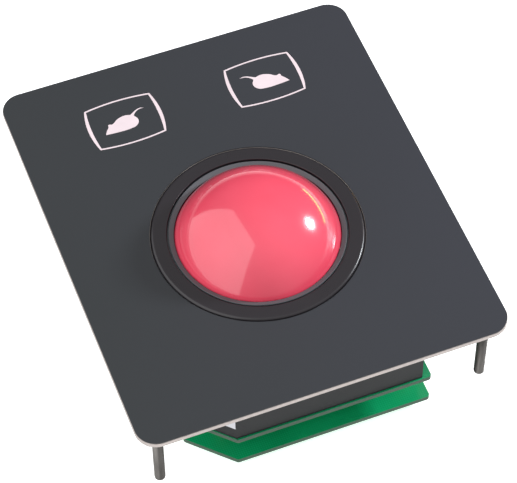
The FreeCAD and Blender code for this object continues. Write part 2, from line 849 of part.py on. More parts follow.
def make_case_fixings():
    """Short studs on the back of the plate, with a washer and a nut under the top wall."""
    studs, washers, nuts = [], [], []
    washer_foot = D.case_ceiling - D.washer_thickness
    nut_foot = washer_foot - D.nut_height
    for i, (x, y) in enumerate(CASE_FIXINGS):
        start = (x, y, -D.fixing_length)
        studs.append(rod(f"case_stud_{i}", D.fixing_radius, start, D.fixing_length))
        washers.append(
            tube(
                f"case_washer_{i}",
                D.washer_radius,
                D.clearance_bore,
                (x, y, washer_foot),
                D.washer_thickness,
            )
        )
        hexagon = doc.addObject("Part::Prism", f"case_nut_blank_{i}")
        hexagon.Polygon = 6
        bind(hexagon, "Circumradius", D.nut_corner)
        bind(hexagon, "Height", D.nut_height)
        place(hexagon, (x, y, nut_foot))
        bore = rod(f"case_nut_bore_{i}", D.boss_bore, (x, y, nut_foot), D.nut_height)
        nuts.append(cut(f"case_nut_{i}", hexagon, bore))
    node(group("case_stud_group", studs), "housing_studs")
    node(group("case_washer_group", washers), "housing_washers")
    node(group("case_nut_group", nuts), "housing_nuts")


def make_label():
    """Blank label on the cut-off corner of the housing."""
    slope = FreeCAD.Rotation(UP, -45)
    end_x = D.case_left + D.case_chamfer - D.label_margin * DIAGONAL
    end_y = D.case_front + D.label_margin * DIAGONAL
    out = D.label_thickness * DIAGONAL
    corner = (
        end_x - D.label_width * DIAGONAL - out,
        end_y + D.label_width * DIAGONAL - out,
        D.label_foot,
    )
    label = block(
        "label_sheet",
        (0, 0, 0),
        (D.label_width, D.label_thickness, D.label_top - D.label_foot),
        slope,
        corner,
    )
    node(label, "serial_label")


# ---------------------------------------------------------------- ball cup and shafts

DIP = math.radians(D.roller_dip.value)
roller_distance = D.ball_radius + D.roller_radius + D.running_gap
roller_reach = roller_distance * math.cos(DIP)
roller_level = D.ball_level - roller_distance * math.sin(DIP)


def shaft_point(axis, along, across=0, up=0):
    """A point near a shaft: along it from the ball centre, across it, and above it."""
    if axis == "x":
        return (size(along), D.ball_row - roller_reach + across, roller_level + up)
    return (across - roller_reach, D.ball_row + along, roller_level + up)


def shaft_block(name, axis, along, across, low, high):
    """A block beside a shaft, between two levels."""
    start = shaft_point(axis, along[0], across[0])
    end = shaft_point(axis, along[1], across[1])
    return block(name, (start[0], start[1], low), (end[0], end[1], high))


def on_shaft(name, axis, radius, along, length):
    turn = ALONG_X if axis == "x" else ALONG_Y
    return rod(name, radius, shaft_point(axis, along), length, turn)


def tube_on_shaft(name, axis, outer, bore, along, length):
    return cut(
        name,
        on_shaft(name + "_outside", axis, outer, along, length),
        on_shaft(name + "_bore", axis, bore, along, length),
    )


BEARINGS = [(axis, end) for axis in "xy" for end in ("near", "far")]


def bearing_start(end):
    return D.near_bearing if end == "near" else D.far_bearing


def post_tools(prefix, axis, end):
    """The two bores through a bearing post: the bearing's seat and the wider passage."""
    start = bearing_start(end)
    lip = (D.post_thickness - D.bearing_width) / 2
    return [
        on_shaft(f"{prefix}_seat", axis, D.post_bore, start - 0.01, D.bearing_width + 0.02),
        on_shaft(f"{prefix}_passage", axis, D.post_passage, start - lip, D.post_thickness),
    ]


def post_block(name, axis, end, low, high):
    lip = (D.post_thickness - D.bearing_width) / 2
    start = bearing_start(end) - lip
    half = D.post_width / 2
    return shaft_block(name, axis, (start, start + D.post_thickness), (-half, half), low, high)


IDLER_TURN = FreeCAD.Rotation(UP, -45)


def idler_point(across, out, level):
    """A point by the idler: across is along its axis, out is away from the ball's axis."""
    return (
        (size(across) + out) * DIAGONAL,
        D.ball_row + (size(out) - across) * DIAGONAL,
        level,
    )


def idler_block(name, across, out, levels):
    corner = idler_point(across[0], out[0], levels[0])
    extent = (size(across[1]) - across[0], size(out[1]) - out[0], size(levels[1]) - levels[0])
    return block(name, (0, 0, 0), extent, IDLER_TURN, corner)


def idler_rod(name, radius, across, length):
    turn = FreeCAD.Rotation(UP, V(1, -1, 0))
    return rod(name, radius, idler_point(across, D.idler_reach, D.idler_level), length, turn)


# spans of the idler's pieces: across (along its axis), out (from the ball's upright axis), levels
pivot_at = (-D.arm_length, D.idler_reach)
ARM_OUT, ARM_LEVELS = (26.4, 29.0), (-20.0, -16.0)
ARM_FOOT, ARM_TOP = ARM_LEVELS
BOSS_RISE = 1.0
CHEEK_HALF = 3.0
CHEEK_OUT, CHEEK_LEVELS = (26.2, 33.0), (-21.0, -15.2)
ARM_BACK_OUT = (31.95, 33.0)
PIVOT_SHOULDER = 0.2
PIVOT_PIN_LENGTH = 11.2
CLIP_LEVEL, CLIP_THICKNESS, CLIP_LIP = -14.8, 0.6, 0.2
LEAF_ACROSS, LEAF_OUT, LEAF_LEVELS = (-20.0, 1.0), (33.05, 33.35), (-20.0, -16.5)
LEAF_POST_ACROSS, LEAF_POST_OUT, LEAF_POST_TOP = (-20.0, -17.0), (31.9, 34.5), -15.5
LEAF_SLOT_ACROSS, LEAF_SLOT_TOP = (-21.0, -16.0), -15.0
WINDOW_HALF, WINDOW_OUT, WINDOW_LEVELS = 4.2, (20.0, 36.0), (-24.5, -12.5)


def make_ball_cup():
    """Cup under the ball, with the posts for the roller shafts and the idler's pivot."""
    sphere = ball_at("cup_outside", D.cup_outer, ball_centre)
    reach = D.cup_outer + 5
    above = block(
        "cup_above_rim",
        (-reach, D.ball_row - reach, D.cup_rim),
        (reach, D.ball_row + reach, D.cup_rim + 2 * reach),
    )
    bowl = cut("cup_bowl", sphere, above)
    inset = D.case_wall + D.cup_margin
    plate = doc.addObject("PartDesign::Body", "cup_base")
    outline = sketch(plate, "cup_base_outline", D.case_foot)
    polygon(
        outline,
        cornered(
            D.case_left + inset,
            D.case_front + inset,
            D.case_right - inset,
            D.case_back - inset,
            D.case_chamfer - inset * (2 - math.sqrt(2)),
        ),
    )
    pad(plate, "cup_base_sheet", outline, D.cup_plate - D.case_foot)
    solids = [bowl, plate]
    tools = [ball_at("cup_inside", D.cup_inner, ball_centre)]
    for axis, end in BEARINGS:
        solids.append(
            post_block(f"post_{axis}_{end}", axis, end, D.cup_plate, roller_level)
        )
        tools += post_tools(f"post_{axis}_{end}", axis, end)
    for x, y in CUP_SCREWS:
        name = f"cup_boss_{len(solids)}"
        solids.append(
            rod(name, D.small_boss, (x, y, D.cup_plate), D.small_boss_top - D.cup_plate)
        )
        depth = D.small_screw_top - D.case_foot
        tools.append(rod(name + "_pilot", D.small_screw, (x, y, D.case_foot), depth))
    pivot = idler_point(*pivot_at, D.cup_plate)
    solids.append(rod("cup_pivot_post", D.pivot_boss, pivot, ARM_FOOT - PIVOT_SHOULDER - D.cup_plate))
    tools.append(rod("cup_pivot_hole", D.pivot_radius, pivot, ARM_FOOT - D.cup_plate))
    levels = (D.cup_plate, LEAF_POST_TOP)
    solids.append(idler_block("cup_leaf_post", LEAF_POST_ACROSS, LEAF_POST_OUT, levels))
    levels = (LEAF_LEVELS[0], LEAF_SLOT_TOP)
    tools.append(idler_block("cup_leaf_slot", LEAF_SLOT_ACROSS, LEAF_OUT, levels))
    span = (-WINDOW_HALF, WINDOW_HALF)
    tools.append(idler_block("cup_idler_window", span, WINDOW_OUT, WINDOW_LEVELS))
    for axis in "xy":
        half = D.roller_length / 2 + D.roller_end_gap
        gap = D.roller_radius + D.roller_gap
        low, high = roller_level - gap, roller_level + gap
        reach = (-D.roller_window, D.roller_window)
        tools.append(shaft_block(f"cup_{axis}_window", axis, (-half, half), reach, low, high))
        side = D.fork_width / 2 + D.cup_margin
        span = (D.fork_start - D.cup_margin, D.fork_end + D.cup_margin / 3)
        low, high = D.case_foot, D.cup_plate
        tools.append(shaft_block(f"cup_{axis}_fork", axis, span, (-side, side), low, high))
    for i, (x, y) in enumerate(BOARD_SCREWS):
        depth = D.cup_plate - D.case_foot
        start = (x, y, D.case_foot)
        tools.append(rod(f"cup_boss_gap_{i}", D.boss_radius + D.boss_margin, start, depth))
    drain = (0, D.ball_row, D.ball_level - D.cup_outer - 1)
    tools.append(rod("cup_drain_hole", D.cup_drain, drain, 5))
    node(cut("cup_finished", fused("cup_solid", solids), *tools), "ball_cup")


def make_bearings():
    """Four bearings: the outer races stay in their posts, the inner races turn."""
    races, caps = [], []
    for axis, end in BEARINGS:
        start = bearing_start(end)
        tag = f"{axis}_{end}"
        races.append(
            tube_on_shaft(
                f"race_{tag}", axis, D.bearing_radius, D.race_split, start, D.bearing_width
            )
        )
        clear_of_cup = ball_at(f"cap_{tag}_hollow", D.cup_outer + 0.05, ball_centre)
        blank = post_block(f"cap_{tag}_block", axis, end, roller_level, D.post_top)
        caps.append(cut(f"cap_{tag}", blank, clear_of_cup, *post_tools(f"cap_{tag}", axis, end)))
    node(group("race_group", races), "shaft_bearings")
    node(group("cap_group", caps), "bearing_caps")


def make_encoder_disc(axis):
    """Slotted disc with a hub, modelled flat and then turned onto its shaft."""
    disc = body(f"{axis}_encoder_disc")
    wheel = sketch(disc, f"{axis}_disc_outline")
    circle(wheel, 0, 0, D.disc_radius)
    pad(disc, f"{axis}_disc_sheet", wheel, D.disc_thickness)
    hub = sketch(disc, f"{axis}_hub_outline", -D.hub_length)
    circle(hub, 0, 0, D.disc_hub)
    pad(disc, f"{axis}_disc_hub", hub, D.hub_length)
    bore = sketch(disc, f"{axis}_disc_bore", D.disc_thickness)
    circle(bore, 0, 0, D.shaft_radius)
    pocket(disc, f"{axis}_disc_hole", bore, D.disc_thickness + D.hub_length)
    slot = sketch(disc, f"{axis}_disc_slot_outline", D.disc_thickness)
    half = D.slot_width / 2
    rectangle(slot, (D.slot_inner, -half), (D.slot_outer, half))
    first = pocket(disc, f"{axis}_disc_slot", slot, D.disc_thickness)
    doc.recompute()
    repeat_round(disc, f"{axis}_disc_slots", first, D.slot_count)
    turn = ALONG_X if axis == "x" else ALONG_Y
    place(disc, shaft_point(axis, D.disc_place), turn)


def make_shafts():
    for axis in "xy":
        start, length = D.shaft_start, D.shaft_end - D.shaft_start
        node(on_shaft(f"{axis}_shaft_rod", axis, D.shaft_radius, start, length), f"{axis}_shaft")
        half = D.roller_length / 2
        roller = tube_on_shaft(
            f"{axis}_roller_tube", axis, D.roller_radius, D.shaft_radius, -half, D.roller_length
        )
        node(roller, f"{axis}_roller")
        make_encoder_disc(axis)
        races = [
            tube_on_shaft(
                f"{axis}_{end}_race",
                axis,
                D.race_inner,
                D.shaft_radius,
                bearing_start(end),
                D.bearing_width,
            )
            for end in ("near", "far")
        ]
        node(group(f"{axis}_race_group", races), f"{axis}_inner_races")


def make_idler():
    """Third support of the ball: a roller on a sprung arm."""
    pivot = idler_point(*pivot_at, ARM_FOOT)
    boss_height = size(ARM_TOP + BOSS_RISE - ARM_FOOT)
    gap = D.idler_width / 2 + D.cheek_gap
    bar = (-D.arm_length, -gap - D.cheek_gap)
    arm = fused(
        "arm_solid",
        [
            rod("arm_boss", D.pivot_boss, pivot, boss_height),
            idler_block("arm_bar", bar, ARM_OUT, ARM_LEVELS),
            idler_block("arm_left_cheek", (-CHEEK_HALF, -gap), CHEEK_OUT, CHEEK_LEVELS),
            idler_block("arm_right_cheek", (gap, CHEEK_HALF), CHEEK_OUT, CHEEK_LEVELS),
            idler_block("arm_back", (-CHEEK_HALF, CHEEK_HALF), ARM_BACK_OUT, CHEEK_LEVELS),
        ],
    )
    bore = D.pivot_radius + D.pivot_gap
    arm = cut(
        "arm_finished",
        arm,
        rod("arm_pivot_bore", bore, pivot, boss_height),
        idler_rod("arm_pin_bore", D.idler_pin_radius, -CHEEK_HALF, 2 * CHEEK_HALF),
    )
    node(arm, "idler_arm")
    pin = idler_rod("idler_pin_rod", D.idler_pin_radius, -CHEEK_HALF, 2 * CHEEK_HALF)
    node(pin, "idler_pin")
    half = D.idler_width / 2
    roller = cut(
        "idler_roller_tube",
        idler_rod("idler_roller_outside", D.idler_radius, -half, D.idler_width),
        idler_rod("idler_roller_bore", D.idler_bore, -half, D.idler_width),
    )
    node(roller, "idler_roller")
    foot = idler_point(*pivot_at, D.cup_plate)
    node(rod("pivot_pin_rod", D.pivot_radius, foot, PIVOT_PIN_LENGTH), "idler_pivot_pin")
    foot = idler_point(*pivot_at, CLIP_LEVEL)
    clip = tube("clip_tube", D.pivot_boss - CLIP_LIP, D.pivot_radius, foot, CLIP_THICKNESS)
    node(clip, "idler_clip")
    node(idler_block("leaf_strip", LEAF_ACROSS, LEAF_OUT, LEAF_LEVELS), "idler_spring")


def make_cup_screws():
    screws = []
    for i, (x, y) in enumerate(CUP_SCREWS):
        length = D.small_screw_top - upper_under
        shank = rod(f"cup_screw_shank_{i}", D.small_screw, (x, y, upper_under), length)
        head_foot = (x, y, upper_under - D.small_head_height)
        head = rod(f"cup_screw_head_{i}", D.small_head, head_foot, D.small_head_height)
        screws.append(fused(f"cup_screw_{i}", [shank, head]))
    node(group("cup_screw_group", screws), "cup_screws")


# ---------------------------------------------------------------- circuit boards


def make_board(label, top, holes):
    board = body(label)
    outline = sketch(board, f"{label}_outline", top - D.board_thickness)
    polygon(
        outline,
        cornered(D.board_left, D.board_front, D.board_right, D.board_back, D.board_chamfer),
    )
    pad(board, f"{label}_sheet", outline, D.board_thickness)
    round_edges(board, f"{label}_corners", D.board_corner, upright)
    drills = sketch(board, f"{label}_drills", top)
    for x, y, radius in holes:
        circle(drills, x, y, radius)
    pocket(board, f"{label}_holes", drills, D.board_thickness)


def make_boards():
    corner_holes = [(x, y, D.board_bore) for x, y in BOARD_SCREWS]
    small_holes = [(x, y, D.small_screw + 0.1) for x, y in CUP_SCREWS]
    ball_hole = (0, D.ball_row, D.board_hole)
    make_board("encoder_board", board_top, corner_holes + small_holes + [ball_hole])
    make_board("controller_board", lower_top, corner_holes)


def make_board_fixings():
    spacers, screws = [], []
    for i, (x, y) in enumerate(BOARD_SCREWS):
        hexagon = doc.addObject("Part::Prism", f"spacer_blank_{i}")
        hexagon.Polygon = 6
        bind(hexagon, "Circumradius", D.nut_corner)
        bind(hexagon, "Height", D.board_gap)
        place(hexagon, (x, y, lower_top))
        bore = rod(f"spacer_bore_{i}", D.clearance_bore, (x, y, lower_top), D.board_gap)
        spacers.append(cut(f"spacer_{i}", hexagon, bore))
        shank = rod(f"board_screw_shank_{i}", D.fixing_radius, (x, y, lower_under), D.screw_length)
        head_foot = (x, y, lower_under - D.head_height)
        head = rod(f"board_screw_head_{i}", D.head_radius, head_foot, D.head_height)
        screws.append(fused(f"board_screw_{i}", [shank, head]))
    node(group("spacer_group", spacers), "board_spacers")
    node(group("board_screw_group", screws), "board_screws")


def make_sensors():
    """A light barrier straddles each encoder disc."""
    for axis in "xy":
        side = D.fork_width / 2
        span = (D.fork_start, D.fork_end)
        middle = D.disc_place + D.disc_thickness / 2
        opening = (middle - D.fork_slot / 2, middle + D.fork_slot / 2)
        solid = shaft_block(f"{axis}_fork", axis, span, (-side, side), board_top, D.fork_top)
        slot = shaft_block(
            f"{axis}_fork_slot", axis, opening, (-side, side), D.fork_floor, D.fork_top
        )
        node(cut(f"{axis}_fork_cut", solid, slot), f"{axis}_sensor")


def on_board(name, x, y, height):
    """A block standing on the lower board."""
    return block(name, (x[0], y[0], lower_top), (x[1], y[1], lower_top + height))


# components on the lower board: left to right, front to back, height
BOARD_PARTS = {
    "controller_chip": ((-24.2, -11.8), (13.8, 26.2), 3.6),
    "driver_chip": ((15.7, 24.3), (-22.0, -18.0), 1.6),
    "crystal": ((-10.0, 1.0), (19.7, 24.3), 3.5),
    "board_link": ((28.5, 33.5), (-8.0, 7.2), D.board_gap),
}
CAPACITORS = [(16.0, -37.0), (9.0, -38.5)]
RESISTOR_ROW, RESISTOR_COUNT = (-40.0, -38.0), 6
RIBBON_SOCKET = ((-8.0, 8.0), (28.0, 33.5), 2.5)
SOCKET_MOUTH_HALF, SOCKET_MOUTH_START = 6.1, 30.5
HOST_SHROUD = ((9.0, 24.0), (27.5, 35.0), 6.0)
SHROUD_WALL, SHROUD_BACK, PIN_COUNT = 1.0, 2.0, 5


def make_components():
    for label, spans in BOARD_PARTS.items():
        node(on_board(label + "_block", *spans), label)
    cans = [
        rod(f"capacitor_can_{i}", D.can_radius, (x, y, lower_top), D.can_height)
        for i, (x, y) in enumerate(CAPACITORS)
    ]
    node(group("capacitor_group", cans), "capacitors")
    resistors = []
    for i in range(RESISTOR_COUNT):
        left = D.resistor_first + i * D.resistor_pitch
        span = (left, left + D.resistor_width)
        resistors.append(on_board(f"resistor_{i}", span, RESISTOR_ROW, D.resistor_height))
    node(group("resistor_group", resistors), "chip_resistors")


def make_ribbon_connector():
    """Low socket that the key ribbon slides into from behind."""
    socket = on_board("ribbon_socket_block", *RIBBON_SOCKET)
    half = D.circuit_thickness / 2 + D.mouth_gap
    level = lower_top + D.ribbon_rise
    back = RIBBON_SOCKET[1][1]
    mouth = block(
        "ribbon_socket_mouth",
        (-SOCKET_MOUTH_HALF, SOCKET_MOUTH_START, level - half),
        (SOCKET_MOUTH_HALF, back, level + half),
    )
    node(cut("ribbon_socket", socket, mouth), "ribbon_connector")


def make_host_connector():
    """Shrouded header with five pins, open to the back for the lead to the host."""
    (left, right), (front, back), height = HOST_SHROUD
    shroud = on_board("host_block", *HOST_SHROUD)
    hollow = block(
        "host_hollow",
        (left + SHROUD_WALL, front + SHROUD_BACK, lower_top + SHROUD_WALL),
        (right - SHROUD_WALL, back, lower_top + height - SHROUD_WALL),
    )
    half = D.pin_width / 2
    middle = lower_top + height / 2
    pins, bores = [], []
    for i in range(PIN_COUNT):
        x = left + D.first_pin + i * D.pin_pitch
        low = (x - half, front, middle - half)
        high = (x + half, back - D.pin_inset, middle + half)
        pins.append(block(f"host_pin_{i}", low, high))
        bores.append(block(f"host_pin_bore_{i}", low, high))
    node(cut("host_shroud", shroud, hollow, *bores), "host_connector")
    node(group("host_pin_group", pins), "host_connector_pins")


# ---------------------------------------------------------------- build


def make_everything():
    make_front_plate()
    make_overlay_foil()
    make_keys()
    make_key_layers()
    make_key_ribbon()
    make_mounting_studs()
    make_panel_gasket()
    make_ball()
    make_retaining_ring()
    make_wiper_seal()
    make_ring_oring()
    case = make_housing()
    nodes.remove(case)
    case.Label = "housing_box"
    node(fused("housing_with_tabs", [case, make_bayonet_tabs()]), "trackball_housing")
    make_seals()
    make_case_fixings()
    make_label()
    make_ball_cup()
    make_bearings()
    make_shafts()
    make_idler()
    make_cup_screws()
    make_boards()
    make_board_fixings()
    make_sensors()
    make_components()
    make_ribbon_connector()
    make_host_connector()


def check_document():
    """Stop on any failed object or bad shape, before anything is written."""
    doc.recompute()
    for thing in doc.Objects:
        if {"Invalid", "Error"} & set(thing.State):
            raise RuntimeError(f"{thing.Label} failed: {thing.State}")
    for thing in nodes:
        shape = thing.Shape
        if shape.isNull() or not shape.isValid() or not shape.Solids:
            raise RuntimeError(f"{thing.Label} has no valid solid")


def export_nodes():
    os.makedirs("parts", exist_ok=True)
    for thing in nodes:
        thing.Shape.exportStep(os.path.join("parts", thing.Label + ".step"))
        print(f"{thing.Label}: {len(thing.Shape.Solids)} solid(s), {thing.Shape.Volume:.1f} mm3")
    print(len(nodes), "nodes")


make_everything()
check_document()
export_nodes()
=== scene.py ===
# %% [markdown]
# A panel-mount trackball, built as a lesson. The CAD model fixes every size and place, and this
# script adds the looks: printed foil, satin and glossy plastics, threads, solder and etched copper.
# The frame is in metres: +X to the right, +Y away from the user, +Z out of the panel's face.

# %% Load the frame
import json
import math

import bmesh
import bpy
from mathutils import Matrix, Vector


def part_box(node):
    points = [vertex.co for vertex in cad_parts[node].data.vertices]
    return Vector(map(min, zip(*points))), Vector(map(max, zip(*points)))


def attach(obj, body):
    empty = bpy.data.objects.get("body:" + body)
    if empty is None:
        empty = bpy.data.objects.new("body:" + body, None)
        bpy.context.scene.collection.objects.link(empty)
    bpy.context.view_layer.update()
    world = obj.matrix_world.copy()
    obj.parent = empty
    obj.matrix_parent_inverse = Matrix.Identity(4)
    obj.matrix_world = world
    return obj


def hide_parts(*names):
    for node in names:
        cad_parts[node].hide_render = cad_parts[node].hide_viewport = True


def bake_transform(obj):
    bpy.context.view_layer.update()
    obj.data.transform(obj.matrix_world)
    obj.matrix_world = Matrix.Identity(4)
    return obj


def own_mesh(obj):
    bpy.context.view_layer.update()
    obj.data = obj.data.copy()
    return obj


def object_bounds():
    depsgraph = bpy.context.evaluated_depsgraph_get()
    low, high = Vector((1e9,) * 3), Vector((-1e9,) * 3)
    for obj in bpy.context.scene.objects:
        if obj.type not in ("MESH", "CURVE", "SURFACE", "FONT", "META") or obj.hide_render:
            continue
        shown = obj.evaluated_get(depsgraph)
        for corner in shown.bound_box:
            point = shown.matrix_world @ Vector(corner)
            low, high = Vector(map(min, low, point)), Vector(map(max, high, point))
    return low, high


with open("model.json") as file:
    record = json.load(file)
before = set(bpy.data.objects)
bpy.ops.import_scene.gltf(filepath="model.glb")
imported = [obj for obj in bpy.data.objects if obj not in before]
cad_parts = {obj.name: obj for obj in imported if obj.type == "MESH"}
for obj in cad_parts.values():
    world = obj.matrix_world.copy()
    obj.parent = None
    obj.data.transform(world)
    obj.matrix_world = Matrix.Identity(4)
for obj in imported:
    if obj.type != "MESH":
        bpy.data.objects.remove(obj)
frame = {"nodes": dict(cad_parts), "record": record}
cad_low, cad_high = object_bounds()
MM = 0.001
X, Y, Z = Vector((1, 0, 0)), Vector((0, 1, 0)), Vector((0, 0, 1))
BODY_OF = {n: b for b, ns in frame["record"]["behaviour"]["bodies"].items() for n in ns}

# %% [markdown]
# Places come from the CAD boxes. The ball's box gives its centre and radius, the foil's box gives
# the panel's face, and the boards' boxes give the levels that all the small electronics stand on.

# %% Places read from the frame


def middle(node):
    low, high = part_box(node)
    return (low + high) / 2


def top(node):
    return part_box(node)[1].z


def foot(node):
    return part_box(node)[0].z


ball_centre = middle("ball")
ball_radius = (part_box("ball")[1].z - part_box("ball")[0].z) / 2
face = top("overlay_foil")
plate_low, plate_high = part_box("front_plate")
ring_axis = Vector((ball_centre.x, ball_centre.y, 0))
print("ball radius", round(ball_radius / MM, 2), "mm; face at", round(face / MM, 2), "mm")

# %% [markdown]
# The camera stands in front of the panel and to its left, looking down at about 54 degrees through
# a long lens, so the plate's far edge is only a little smaller than its near edge.

# %% Camera

CAMERA_PLACE = Vector((-0.1371, -0.3751, 0.5375))
CAMERA_LOOK = Vector((0.20569, 0.54983, -0.80956))
CAMERA_TILT = math.radians(-0.6)
LENS, SENSOR = 169.3, 36
camera = bpy.data.objects.new("camera", bpy.data.cameras.new("camera"))
bpy.context.scene.collection.objects.link(camera)
camera.data.sensor_width, camera.data.lens = SENSOR, LENS
camera.data.clip_start, camera.data.clip_end = 0.01, 20
turn = CAMERA_LOOK.to_track_quat("-Z", "Y").to_matrix() @ Matrix.Rotation(CAMERA_TILT, 3, "Z")
camera.matrix_world = Matrix.Translation(CAMERA_PLACE) @ turn.to_4x4()
bpy.context.scene.camera = camera
print("camera:", round((CAMERA_PLACE - ball_centre).length, 2), "m from the ball")

# %% [markdown]
# A product picture on white needs a pale floor, a bright even surround and a few soft lamps. The
# glossy ball shows them as shapes: a wide panel that stands on the left gives the broad pale patch,
# a small strong lamp on the right gives the one sharp highlight, and a thin warm strip, level with
# the ball's centre, gives the glint along its edge.

# %% Studio

bpy.context.scene.view_settings.view_transform = "Standard"
world = bpy.data.worlds.new("studio_air")
world.use_nodes = True
world.node_tree.nodes["Background"].inputs["Color"].default_value = (1, 1, 1, 1)
bpy.context.scene.world = world


def lamp(name, place, target, size, power, colour=(1, 1, 1)):
    """An area lamp at place that points at target."""
    data = bpy.data.lights.new(name, "AREA")
    data.shape = "RECTANGLE"
    data.size, data.size_y = size
    data.energy = power
    data.color = colour
    thing = bpy.data.objects.new(name, data)
    look = (target - place).to_track_quat("-Z", "Y").to_matrix().to_4x4()
    thing.matrix_world = Matrix.Translation(place) @ look
    bpy.context.scene.collection.objects.link(thing)


DAYLIGHT, AMBER = (0.92, 0.96, 1), (1, 0.5, 0.12)
key_place = ball_centre + Vector((0.913, 0.018, 0.407))
panel_place = ball_centre + Vector((-0.295, 0.138, 0.426))
panel_aim = panel_place + Vector((0.982, 0.113, -0.150))
strip_place = ball_centre + Vector((0.50, 0.23, 0.004))
lamp("key_lamp", key_place, ball_centre, (0.15, 0.13), 10, DAYLIGHT)
lamp("side_panel", panel_place, panel_aim, (0.95, 0.86), 3.2)
lamp("warm_edge", strip_place, ball_centre, (0.30, 0.02), 0.25, AMBER)
print("lamps:", len(bpy.data.lights))

# %% [markdown]
# The floor is one large flat sheet a fraction of a millimetre under the lowest screw heads, so
# nothing cuts through it.

# %% Floor

FLOOR_GAP = 0.2 * MM
FLOOR_HALF = 6
floor_bm = bmesh.new()
bmesh.ops.create_grid(floor_bm, x_segments=1, y_segments=1, size=FLOOR_HALF)
bmesh.ops.translate(floor_bm, verts=floor_bm.verts, vec=(0, 0, cad_low.z - FLOOR_GAP))
floor_mesh = bpy.data.meshes.new("floor")
floor_bm.to_mesh(floor_mesh)
floor_bm.free()
floor = bpy.data.objects.new("floor", floor_mesh)
bpy.context.scene.collection.objects.link(floor)

# %% [markdown]
# Materials are small pieces of arithmetic on patterns. Wrapping a shader socket in a class lets
# the arithmetic read as it would on paper: `1 - grain * 0.2` adds the Math nodes by itself.

# %% Shader arithmetic


class Signal:
    """One number that varies over a surface, carried by a socket of a node tree."""

    def __init__(self, tree, socket):
        self.tree, self.socket = tree, socket

    def maths(self, operation, *values):
        node = self.tree.nodes.new("ShaderNodeMath")
        node.operation = operation
        for slot, value in zip(node.inputs, values):
            feed(slot, value)
        return Signal(self.tree, node.outputs[0])

    def __add__(self, other):
        return self.maths("ADD", self, other)

    def __radd__(self, other):
        return self.maths("ADD", other, self)

    def __sub__(self, other):
        return self.maths("SUBTRACT", self, other)

    def __rsub__(self, other):
        return self.maths("SUBTRACT", other, self)

    def __mul__(self, other):
        return self.maths("MULTIPLY", self, other)

    def __rmul__(self, other):
        return self.maths("MULTIPLY", other, self)

    def __gt__(self, other):
        return self.maths("GREATER_THAN", self, other)

    def __lt__(self, other):
        return self.maths("LESS_THAN", self, other)

    def clipped(self, low, high):
        """The signal between low and high, stretched to run from 0 to 1."""
        node = self.tree.nodes.new("ShaderNodeMapRange")
        for name, value in (("From Min", low), ("From Max", high), ("Value", self)):
            feed(node.inputs[name], value)
        return Signal(self.tree, node.outputs["Result"])


def feed(slot, value):
    """Give a socket a number or a colour, or link it to a signal."""
    if isinstance(value, Signal):
        value.tree.links.new(value.socket, slot)
    else:
        slot.default_value = value


# %% [markdown]
# A finish is one material. It starts from the Principled shader's plain numbers, and patterns are
# then linked to the few sockets that may vary: colour, roughness, metallic, glow and the normal.
# The Mix node keeps sockets for each kind of value, so its colour sockets are picked by number.

# %% Finishes

MIX_FACTOR, MIX_A, MIX_B, MIX_RESULT = 0, 6, 7, 2


class Finish:
    """A material with one Principled shader and the patterns that feed it."""

    def __init__(self, name, colour, roughness, **plain):
        self.material = bpy.data.materials.new(name)
        self.material.use_nodes = True
        self.tree = self.material.node_tree
        self.shader = self.tree.nodes["Principled BSDF"]
        self.material.diffuse_color = (*colour, 1)
        self.set(Base_Color=(*colour, 1), Roughness=roughness, **plain)

    def set(self, **values):
        """Give the shader's sockets values or signals; _ in a name stands for a space."""
        for name, value in values.items():
            feed(self.shader.inputs[name.replace("_", " ")], value)

    def add(self, kind, settings=None, inputs=None, output=0):
        """Any other node: its settings first, then its sockets' values or links."""
        node = self.tree.nodes.new("ShaderNode" + kind)
        for name, value in (settings or {}).items():
            setattr(node, name, value)
        for name, value in (inputs or {}).items():
            feed(node.inputs[name], value)
        return Signal(self.tree, node.outputs[output])

    def place(self, scale=(1, 1, 1), turn=(0, 0, 0)):
        """Object coordinates, stretched and turned."""
        where = self.add("TexCoord", output="Object")
        return self.add("Mapping", inputs={"Vector": where, "Scale": scale, "Rotation": turn})

    def noise(self, scale, detail, where=None):
        """Cloudy noise; a higher scale gives smaller grains, and detail gives them rough edges."""
        place = where or self.place()
        return self.add("TexNoise", inputs={"Vector": place, "Scale": scale, "Detail": detail})

    def mix(self, amount, first, second):
        """A colour between two, by a signal."""
        sockets = {MIX_FACTOR: amount, MIX_A: (*first, 1), MIX_B: (*second, 1)}
        return self.add("Mix", {"data_type": "RGBA"}, sockets, MIX_RESULT)

    def bump(self, height, distance, strength=1.0):
        """Relief of that height in metres, which turns the surface's normal."""
        relief = {"Height": height, "Distance": distance, "Strength": strength}
        self.set(Normal=self.add("Bump", inputs=relief))
        return self


# %% [markdown]
# The floor's finish is a pale matte sheet on a light table. Its own faint glow fills in
# the shadows under the object, and both fade further out, so that the ball doesn't show a bright
# line where the sheet ends. The air is brightest overhead and towards the front, as in a tent with
# a lamp over the camera.

# %% Floor paper and air

PAPER, FAR_PAPER = (0.93, 0.93, 0.93), (0.52, 0.52, 0.53)
FADE_START, FADE_END = 0.14, 0.5
floor_paper = Finish("floor_paper", PAPER, 0.9)
distance = floor_paper.add("VectorMath", {"operation": "LENGTH"}, {0: floor_paper.place()}, "Value")
near_object = 1 - distance.clipped(FADE_START, FADE_END)
floor_paper.set(
    Base_Color=floor_paper.mix(near_object, FAR_PAPER, PAPER),
    Emission_Color=floor_paper.mix(near_object, (0.10, 0.10, 0.10), (1, 1, 1)),
    Emission_Strength=0.6,
)
floor.data.materials.append(floor_paper.material)

